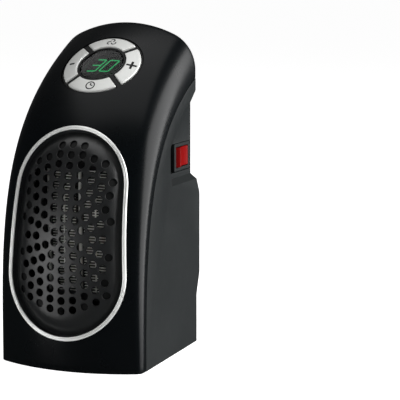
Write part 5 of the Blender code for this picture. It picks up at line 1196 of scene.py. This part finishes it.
def make_back_cover():
    outer = [(UPPER_BACK_Y, BODY_HEIGHT + OVERRUN)] + back_line()[1:-1] + [(BACK_Y, -OVERRUN)]
    inner = [(y - WALL, z) for y, z in outer]
    cover = extruded("rear_cover", outer + inner[::-1], PROFILE, -2 * HALF_WIDTH, 2 * HALF_WIDTH)
    limit = [[(x, y, z) for x, z in cover_outline(y)] for y in (UPPER_BACK_Y - 2 * WALL, BULGE_Y + WALL)]
    keep_inside(cover, tapered("cover_limit", limit))
    face_y = UPPER_BACK_Y - WALL / 2
    join(cover, y_rod("cup", 0, PLUG_HEIGHT, CUP_FLOOR_Y - CUP_FLOOR, face_y, CUP_RADIUS + CUP_WALL, 96))
    tray_half = NOTCH_HALF + TRAY_WALL
    tray_low = (-COVER_X, NOTCH_FLOOR_Y - TRAY_WALL, NOTCH_HEIGHT - tray_half)
    join(cover, block("tray", tray_low, (NOTCH_X + TRAY_WALL, face_y, NOTCH_HEIGHT + tray_half)))
    cut(cover, notch_prism("notch_space"))
    cut(cover, y_rod("cup_space", 0, PLUG_HEIGHT, CUP_FLOOR_Y, BULGE_Y, CUP_RADIUS, 96))
    cut(cover, y_rod("neck_hole", 0, PLUG_HEIGHT, 0.0, BACK_Y, PLUG_NECK_RADIUS + GAP))
    for name in SCREWS:
        set_screw_cup(cover, name)
    cut_slots(cover)
    low, high = pocket_corners(POCKET_WALL + GAP)
    cut(cover, block("pocket_room", low, (high[0], BULGE_Y + OVERRUN, high[2])))
    cut(cover, block("switch_room", *barrel_corners(GAP)))
    return ease_edges(cover, GAP)


# Switch
def make_switch_body():
    """The flange and barrel, with a well for the rocker."""
    low, high = SWITCH_LOW.copy(), SWITCH_HIGH.copy()
    low.x = POCKET_X + GAP
    high.x = low.x + FLANGE_THICKNESS
    flange = block("switch_flange", low, high)
    join(flange, block("switch_barrel", *barrel_corners(0.0)))
    space = Vector((0, 0, ROCKER_HALF + GAP))
    cut(flange, rod("rocker_space", ROCKER_AXIS - space, ROCKER_AXIS + space, ROCKER_RADIUS + GAP, 72))
    return ease_edges(flange, GAP, 3)


def rocker_outline():
    """X and Y of the rocker round its pivot, with round ends and a dished face."""
    reach = math.asin(ROCKER_TIP_RISE / ROCKER_RADIUS)
    tip_y = ROCKER_RADIUS * math.cos(reach)
    angles = np.linspace(0, reach, ROCKER_END_STEPS + 1)
    end = [(ROCKER_RADIUS * math.sin(a), ROCKER_RADIUS * math.cos(a)) for a in angles]
    face = []
    for share in np.linspace(1, -1, 2 * ROCKER_END_STEPS + 1)[1:-1]:
        face.append((ROCKER_DIP_RISE + (ROCKER_TIP_RISE - ROCKER_DIP_RISE) * share**2, tip_y * share))
    keel = [(-ROCKER_KEEL, -ROCKER_RADIUS / 2), (-ROCKER_KEEL, ROCKER_RADIUS / 2)]
    return end + face + [(x, -y) for x, y in end[::-1]] + keel


def make_rocker():
    turn = Matrix.Translation(ROCKER_AXIS) @ Matrix.Rotation(ROCKER_TILT, 4, "Z")
    return ease_edges(extruded("red_rocker", rocker_outline(), turn, -ROCKER_HALF, ROCKER_HALF), ROCKER_EDGE, 4)


# Plug
def add_ribs(plug, side):
    """Two short ribs on one side of the barrel."""
    low_x, high_x = sorted((side * (PLUG_RADIUS - RIB_REACH), side * (PLUG_RADIUS + RIB_REACH)))
    for k in (-1, 1):
        z = PLUG_HEIGHT + k * RIB_OFFSET
        low = (low_x, PLUG_FLANGE_FRONT_Y + RIB_START, z - RIB_HALF)
        join(plug, block("rib", low, (high_x, UPPER_BACK_Y + RIB_END, z + RIB_HALF)))


def cut_side(plug, side):
    """One keyhole, one pin bore and the seat of its collar."""
    low_y, high_y = PLUG_FACE_Y - KEYHOLE_DEPTH, PLUG_FACE_Y + OVERRUN
    z = PLUG_HEIGHT + side * KEYHOLE_REACH
    rim = z + side * PLUG_RADIUS
    cut(plug, y_rod("keyhole", 0, z, low_y, high_y, KEYHOLE_RADIUS, 40))
    slot_low = (-KEYHOLE_HALF_SLOT, low_y, min(z, rim))
    cut(plug, block("keyhole_slot", slot_low, (KEYHOLE_HALF_SLOT, high_y, max(z, rim))))
    x = side * PIN_REACH
    cut(plug, y_rod("pin_bore", x, PLUG_HEIGHT, 0.0, high_y, PIN_RADIUS + GAP, 40))
    seat = PLUG_FACE_Y - COLLAR_SINK - GAP
    cut(plug, y_rod("collar_seat", x, PLUG_HEIGHT, seat, high_y, COLLAR_RADIUS + GAP, 40))


def make_plug():
    flange_radius = CUP_RADIUS - 2 * GAP
    profile = [
        (PLUG_RADIUS, PLUG_FACE_Y),
        (PLUG_RADIUS, PLUG_FLANGE_Y),
        (flange_radius, PLUG_FLANGE_Y),
        (flange_radius, PLUG_FLANGE_FRONT_Y),
        (PLUG_NECK_RADIUS, PLUG_FLANGE_FRONT_Y),
        (PLUG_NECK_RADIUS, PLUG_LOW.y),
    ]
    plug = turned("plug_barrel", profile, 0, PLUG_HEIGHT, 96)
    for step in (add_ribs, cut_side):
        for side in (-1, 1):
            step(plug, side)
    return ease_edges(plug, PLUG_EDGE, 3)


def make_pin(name):
    low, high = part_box(name)
    steps, sinks = eased(PIN_TIP_EASE, PIN_TIP_STEPS)
    profile = [(PIN_RADIUS, low.y)] + list(zip(PIN_RADIUS - steps, high.y - sinks))
    return smooth(turned(f"{name}_shank", profile, (low.x + high.x) / 2, PLUG_HEIGHT, 48), 60)


def make_collar(name):
    low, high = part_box(name)
    x = (low.x + high.x) / 2
    collar = y_rod(f"{name}_ring", x, PLUG_HEIGHT, low.y, high.y, COLLAR_RADIUS, 48)
    cut(collar, y_rod("collar_bore", x, PLUG_HEIGHT, 0, 2 * PLUG_FACE_Y, PIN_RADIUS + GAP / 2, 48))
    return ease_edges(collar, COLLAR_EDGE, 3)


# Screws and button
def make_screw(name):
    """A pan head with a cross recess, and its shank."""
    x, head_y, z = screw_place(name)
    foot_y = head_y - SCREW_HEAD_HEIGHT
    point_y = foot_y - SCREW_SHANK_LENGTH
    profile = [(SCREW_POINT_RADIUS, point_y - SCREW_POINT_LENGTH), (SCREW_SHANK_RADIUS, point_y)]
    profile += [(SCREW_SHANK_RADIUS, foot_y), (SCREW_HEAD_RADIUS, foot_y)]
    for a in np.linspace(math.pi / 2, 0.1, 9):
        profile.append((SCREW_HEAD_RADIUS * math.sin(a), head_y - SCREW_CROWN * (1 - math.cos(a))))
    screw = turned(f"{name}_head", profile, x, z, 48)
    for half_x, half_z in ((CROSS_HALF_LENGTH, CROSS_HALF_WIDTH), (CROSS_HALF_WIDTH, CROSS_HALF_LENGTH)):
        low = (x - half_x, head_y - CROSS_DEPTH, z - half_z)
        cut(screw, block("cross_recess", low, (x + half_x, head_y + OVERRUN, z + half_z)))
    return ease_edges(screw, SCREW_EDGE)


def make_button():
    """The release button: a rounded pad, and its stem through the tray."""
    reach = Vector((BUTTON_HALF_WIDTH, BUTTON_HALF_HEIGHT))
    middle = Vector((BUTTON_X, NOTCH_HEIGHT))
    outline = rounded(rectangle(middle - reach, middle + reach), [BUTTON_CORNER_RADIUS] * 4, 10)
    pad = front_prism("button_pad", outline, NOTCH_FLOOR_Y + GAP, UPPER_BACK_Y - GAP)
    button = ease_edges(pad, BUTTON_EDGE, 4)
    low = (BUTTON_X - STEM_HALF_WIDTH, NOTCH_FLOOR_Y - STEM_DEPTH, NOTCH_HEIGHT - STEM_HALF_HEIGHT)
    high = (BUTTON_X + STEM_HALF_WIDTH, NOTCH_FLOOR_Y + 2 * GAP, NOTCH_HEIGHT + STEM_HALF_HEIGHT)
    return smooth(join(button, block("button_stem", low, high)), 32)


# Finishes. Moulded: colour, roughness, its drift, grain height, specular level and grain scale.
MOULDED = {
    "shell_black": ((0.0014, 0.0022, 0.0028), 0.28, 0.02, 0.000005, 0.15, 3200),
    "housing_grey": ((0.0068, 0.0084, 0.0088), 0.50, 0.05, 0.00001, 0.16, 2600),
    "grille_black": ((0.0060, 0.0068, 0.0072), 0.36, 0.04, 0.000006, 0.64, 3200),
    # A darker copy of the grille's black: painted shade on the walls and blind floors of the grille's holes;
    # also the black of the keypad bezel and the printed signs.
    "deep_black_and_painted_shade": ((0.0030, 0.0033, 0.0034), 0.50, 0.08, 0.000006, 0.22, 3200),
    "inner_plastic": ((0.016, 0.016, 0.018), 0.60, 0.08, 0.00002, 0.24, 2000),
    "rocker_red": ((0.13, 0.001, 0.001), 0.35, 0.04, 0.000002, 0.04, 3200),
    "collar_white": ((0.78, 0.78, 0.76), 0.40, 0.08, 0.000004, 0.5, 3200),
    "board_green": ((0.02, 0.13, 0.06), 0.42, 0.08, 0.000004, 0.5, 3200),
    "component_blue": ((0.03, 0.08, 0.25), 0.38, 0.08, 0.000004, 0.5, 3200),
    "frame_cream": ((0.42, 0.38, 0.30), 0.60, 0.08, 0.00002, 0.5, 3200),
    "lead_white": ((0.70, 0.70, 0.68), 0.46, 0.08, 0.000004, 0.5, 3200),
}
# Metal: colour, roughness, its drift, tone drift, line height and metallic.
METAL = {
    "chrome": ((0.92, 0.93, 0.91), 0.28, 0.01, 0.01, 0.0000001, 0.55),
    "key_silver": ((0.66, 0.67, 0.65), 0.40, 0.05, 0.04, 0.000004, 0.30),
    "pin_nickel": ((0.76, 0.71, 0.60), 0.20, 0.05, 0.04, 0.000002, 0.9),
    "steel": ((0.60, 0.61, 0.62), 0.24, 0.06, 0.06, 0.000003, 0.9),
    "aluminium": ((0.88, 0.89, 0.85), 0.42, 0.06, 0.06, 0.000003, 0.3),
    "brass": ((0.72, 0.53, 0.22), 0.28, 0.06, 0.06, 0.000003, 0.9),
}
MOULDED_TONE_SHARE = 0.12
CHROME_SCALE = 3200
LINE_SCALE = 900
LINE_STRETCH = (0.05, 1.0, 1.0)
CLOUD_SCALE = 38
# Share of brightness left deep between the fins: painted shade.
DEPTH_SHADE_SHARE = 0.03


def node_at(tree, kind, **values):
    """Adds a node; underscores in a name stand for spaces in its socket's name."""
    node = tree.nodes.new(kind)
    for name, value in values.items():
        label = name.replace("_", " ")
        if label in node.inputs:
            node.inputs[label].default_value = value
        else:
            setattr(node, name, value)
    return node


def effect(name, inputs, outputs):
    """A node group of plain values, with its ends and the piece's own place."""
    group = bpy.data.node_groups.new(name, "ShaderNodeTree")
    for label in inputs:
        group.interface.new_socket(label, in_out="INPUT", socket_type="NodeSocketFloat")
    for label in outputs:
        group.interface.new_socket(label, in_out="OUTPUT", socket_type="NodeSocketFloat")
    ins, outs = (group.nodes.new(kind) for kind in ("NodeGroupInput", "NodeGroupOutput"))
    return group, ins, outs, group.nodes.new("ShaderNodeTexCoord").outputs["Object"]


def moulded_grain():
    """Fine spark-eroded grain with a slow cloudiness over it."""
    group, ins, outs, place = effect("moulded_grain", ["Scale"], ["Height", "Drift"])
    grain = node_at(group, "ShaderNodeTexNoise", Detail=3.0, Roughness=0.6)
    cloud = node_at(group, "ShaderNodeTexNoise", Scale=CLOUD_SCALE, Detail=4.0, Roughness=0.55)
    group.links.new(ins.outputs["Scale"], grain.inputs["Scale"])
    for noise, label in ((grain, "Height"), (cloud, "Drift")):
        group.links.new(place, noise.inputs["Vector"])
        group.links.new(noise.outputs["Fac"], outs.inputs[label])
    return group


def brushed_lines():
    """Fine lines drawn along X, with their depth and their streaks."""
    group, ins, outs, place = effect("brushed_lines", ["Scale"], ["Height", "Drift"])
    stretch = node_at(group, "ShaderNodeMapping", Scale=LINE_STRETCH)
    lines = node_at(group, "ShaderNodeTexNoise", Detail=4.0, Roughness=0.7)
    group.links.new(place, stretch.inputs["Vector"])
    group.links.new(stretch.outputs["Vector"], lines.inputs["Vector"])
    group.links.new(ins.outputs["Scale"], lines.inputs["Scale"])
    for label in ("Height", "Drift"):
        group.links.new(lines.outputs["Fac"], outs.inputs[label])
    return group


def painted_depth_shade():
    """Painted shade: falls from 1 at the front edges of the fins to a small share further in."""
    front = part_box("fin_pack_left")[0].y
    group, _, outs, place = effect("painted_depth_shade", [], ["Share"])
    parts = group.nodes.new("ShaderNodeSeparateXYZ")
    fade = node_at(group, "ShaderNodeMapRange", From_Min=front + FIN_EDGE / 4, From_Max=front + FIN_EDGE)
    fade.inputs["To Min"].default_value = 1.0
    fade.inputs["To Max"].default_value = DEPTH_SHADE_SHARE
    group.links.new(place, parts.inputs["Vector"])
    group.links.new(parts.outputs["Y"], fade.inputs["Value"])
    group.links.new(fade.outputs["Result"], outs.inputs["Share"])
    return group


def finish_of(name, colour, roughness, **sockets):
    material = bpy.data.materials.new(name)
    material.use_nodes = True
    shader = material.node_tree.nodes["Principled BSDF"]
    shader.inputs["Base Color"].default_value = (*colour, 1.0)
    shader.inputs["Roughness"].default_value = roughness
    for label, value in sockets.items():
        shader.inputs[label.replace("_", " ")].default_value = value
    return material, material.node_tree, shader


def textured(name, group, scale, colour, roughness, spread, tone, height, **sockets):
    """A finish whose tone and gloss drift with the group and whose surface has the group's height."""
    material, tree, shader = finish_of(name, colour, roughness, **sockets)
    grain = node_at(tree, "ShaderNodeGroup", node_tree=group)
    grain.inputs["Scale"].default_value = scale
    gloss = node_at(tree, "ShaderNodeMapRange", From_Min=0.3, From_Max=0.7)
    gloss.inputs["To Min"].default_value = roughness - spread
    gloss.inputs["To Max"].default_value = roughness + spread
    mix = node_at(tree, "ShaderNodeMix", data_type="RGBA")
    mix.inputs[6].default_value = (*(c * (1 - tone) for c in colour), 1.0)
    mix.inputs[7].default_value = (*(min(c * (1 + tone), 1.0) for c in colour), 1.0)
    bump = node_at(tree, "ShaderNodeBump", Distance=height, Strength=1.0)
    for start, end in (
        (grain.outputs["Drift"], gloss.inputs["Value"]),
        (gloss.outputs["Result"], shader.inputs["Roughness"]),
        (grain.outputs["Drift"], mix.inputs["Factor"]),
        (mix.outputs[2], shader.inputs["Base Color"]),
        (grain.outputs["Height"], bump.inputs["Height"]),
        (bump.outputs["Normal"], shader.inputs["Normal"]),
    ):
        tree.links.new(start, end)
    return material


def lay_painted_depth_shade(material):
    """Darkens a finish deeper between the fins: painted shade."""
    tree = material.node_tree
    target = tree.nodes["Principled BSDF"].inputs["Base Color"]
    source = target.links[0].from_socket
    shade_group = node_at(tree, "ShaderNodeGroup", node_tree=painted_depth_shade())
    darken = node_at(tree, "ShaderNodeMix", data_type="RGBA", blend_type="MULTIPLY", Factor=1.0)
    tree.links.new(source, darken.inputs[6])
    tree.links.new(shade_group.outputs["Share"], darken.inputs[7])
    tree.links.new(darken.outputs[2], target)


def make_finishes():
    grain, lines = moulded_grain(), brushed_lines()
    made = {}
    for name, (colour, roughness, spread, height, specular, scale) in MOULDED.items():
        row = (colour, roughness, spread, MOULDED_TONE_SHARE, height)
        made[name] = textured(name, grain, scale, *row, Specular_IOR_Level=specular)
    for name, (*row, metallic) in METAL.items():
        group, scale = (grain, CHROME_SCALE) if name == "chrome" else (lines, LINE_SCALE)
        made[name] = textured(name, group, scale, *row, Metallic=metallic)
    # The aluminium gets darker further back from the fins' front edges: painted shade.
    lay_painted_depth_shade(made["aluminium"])
    glow = {"Emission_Color": (0.01, 0.62, 0.17, 1.0), "Emission_Strength": 1.0}
    made["lit_green"] = finish_of("lit_green", (0.0, 0.25, 0.09), 0.4, **glow)[0]
    clear = {"Transmission_Weight": 1.0, "IOR": 1.18}
    made["window_smoke"] = finish_of("window_smoke", (0.45, 0.46, 0.46), 0.03, **clear)[0]
    return made


PAINT = make_finishes()


def dress(piece, body, nodes, slot, paint=None):
    """Hands a finished piece its body and its finish, the slot's own unless a paint is given, and hides the
    nodes it stands for.
    """
    piece.data.materials.clear()
    piece.data.materials.append(PAINT[paint or slot])
    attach(piece, body)
    if nodes:
        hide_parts(*nodes)
    return piece


def dress_frame():
    """Gives each carried-over node the finish of its slot."""
    for row in frame["record"]["subparts"]:
        node = frame["nodes"][row["node"]]
        node.data.materials.clear()
        node.data.materials.append(PAINT[row["material_slot"]])


def dress_grille():
    """The grille with a duller, darker finish on the walls of its holes and on the floors of its blind holes:
    painted shade.
    """
    grille = dress(make_grille(), "housing", ["front_grille"], "grille_black")
    grille.data.materials.append(PAINT["deep_black_and_painted_shade"])
    walls = HOLE_SIDES * len(hole_centres())
    # The hole walls get the darker copy of the grille's black: painted shade.
    for face in list(grille.data.polygons)[-walls:]:
        face.material_index = 1
    # The blind floors get the same painted shade.
    dress(make_blind_floors(), "housing", ["front_grille"], "grille_black", "deep_black_and_painted_shade")


# Studio: each light's place, target, power and size
LIGHTS = {
    "right_softbox": ((0.76, 0.25, 0.27), (0, 0, 0.10), 20.5, (0.95, 1.00)),
    "top_softbox": ((-0.14, -0.04, 1.25), (0, 0, 0.12), 6.6, (1.2, 1.2)),
    "front_fill": ((-0.37, -0.56, 0.03), (0, 0, 0.045), 0.78, (0.22, 0.22)),
}
WHITE = (1.0, 1.0, 1.0, 1.0)
WORLD_STRENGTH = 0.06
FLOOR_SIZE = 60
FLOOR_GLOW = 0.93
CAMERA_PLACE = (0.330669, -0.687236, 0.198105)
CAMERA_YAW = 21.582
CAMERA_PITCH = 8.652
CAMERA_LENS = 131.298
CAMERA_SENSOR = 36
CAMERA_CLIP = (0.01, 100)


def stand(name, data, place, turn):
    thing = bpy.data.objects.new(name, data)
    thing.location = place
    thing.rotation_euler = turn
    bpy.context.scene.collection.objects.link(thing)
    return thing


def set_floor():
    clear_pick()
    bpy.ops.mesh.primitive_plane_add(size=FLOOR_SIZE, location=(0, 0, 0))
    floor = bpy.context.object
    floor.name = "studio_floor"
    glow = {"Emission_Color": WHITE, "Emission_Strength": FLOOR_GLOW}
    floor.data.materials.append(finish_of("pale_floor", (0.80, 0.80, 0.80), 0.6, **glow)[0])
    floor.visible_glossy = False


def set_studio():
    set_floor()
    world = bpy.data.worlds.new("dim_studio")
    world.use_nodes = True
    sky = world.node_tree.nodes["Background"]
    sky.inputs["Color"].default_value = WHITE
    sky.inputs["Strength"].default_value = WORLD_STRENGTH
    bpy.context.scene.world = world
    for name, (place, target, power, size) in LIGHTS.items():
        light = bpy.data.lights.new(name, "AREA")
        light.energy = power
        light.shape = "RECTANGLE"
        light.size, light.size_y = size
        stand(name, light, place, (Vector(target) - Vector(place)).to_track_quat("-Z", "Y").to_euler())
    camera = bpy.data.cameras.new("photo_view")
    camera.lens = CAMERA_LENS
    camera.sensor_width = CAMERA_SENSOR
    camera.clip_start, camera.clip_end = CAMERA_CLIP
    turn = (math.radians(90 - CAMERA_PITCH), 0, math.radians(CAMERA_YAW))
    bpy.context.scene.camera = stand("photo_view", camera, CAMERA_PLACE, turn)
    bpy.context.scene.view_settings.view_transform = "Standard"


def build():
    dress_frame()
    dress(make_front_shell(), "housing", ["front_shell"], "shell_black")
    dress(make_ring(), "housing", ["trim_ring"], "chrome")
    for name in ("fin_pack_left", "fin_pack_right"):
        dress(make_fins(name), "housing", [name], "aluminium")
    for name in ("ptc_bar_left", "ptc_bar_centre", "ptc_bar_right"):
        dress(make_bar(name), "housing", [name], "aluminium")
    dress_grille()
    for name, angle in KEY_ANGLES.items():
        dress(make_key(name, angle), name, [name], "key_silver")
    dress(make_bezel(), "housing", ["panel_bezel"], "grille_black", "deep_black_and_painted_shade")
    dress(make_window(), "housing", ["display_window"], "window_smoke")
    dress(make_digits(), "housing", [], "window_smoke", "lit_green")
    dress(make_side_housing(), "housing", ["side_housing"], "housing_grey")
    dress(make_back_cover(), "housing", ["back_cover"], "housing_grey")
    dress(make_switch_body(), "housing", ["switch_body"], "housing_grey")
    dress(make_rocker(), "rocker", ["switch_rocker"], "rocker_red")
    dress(make_plug(), "plug", ["plug_body"], "grille_black")
    for word in ("left", "right"):
        dress(make_pin(f"plug_pin_{word}"), "plug", [f"plug_pin_{word}"], "pin_nickel")
        dress(make_collar(f"pin_collar_{word}"), "plug", [f"pin_collar_{word}"], "collar_white")
    for name in SCREWS:
        dress(make_screw(name), "housing", [name], "steel")
    dress(make_button(), "release", ["release_button"], "grille_black")
    for key, sign in make_signs().items():
        dress(sign, key, [], "grille_black", "deep_black_and_painted_shade")
    set_studio()


build()
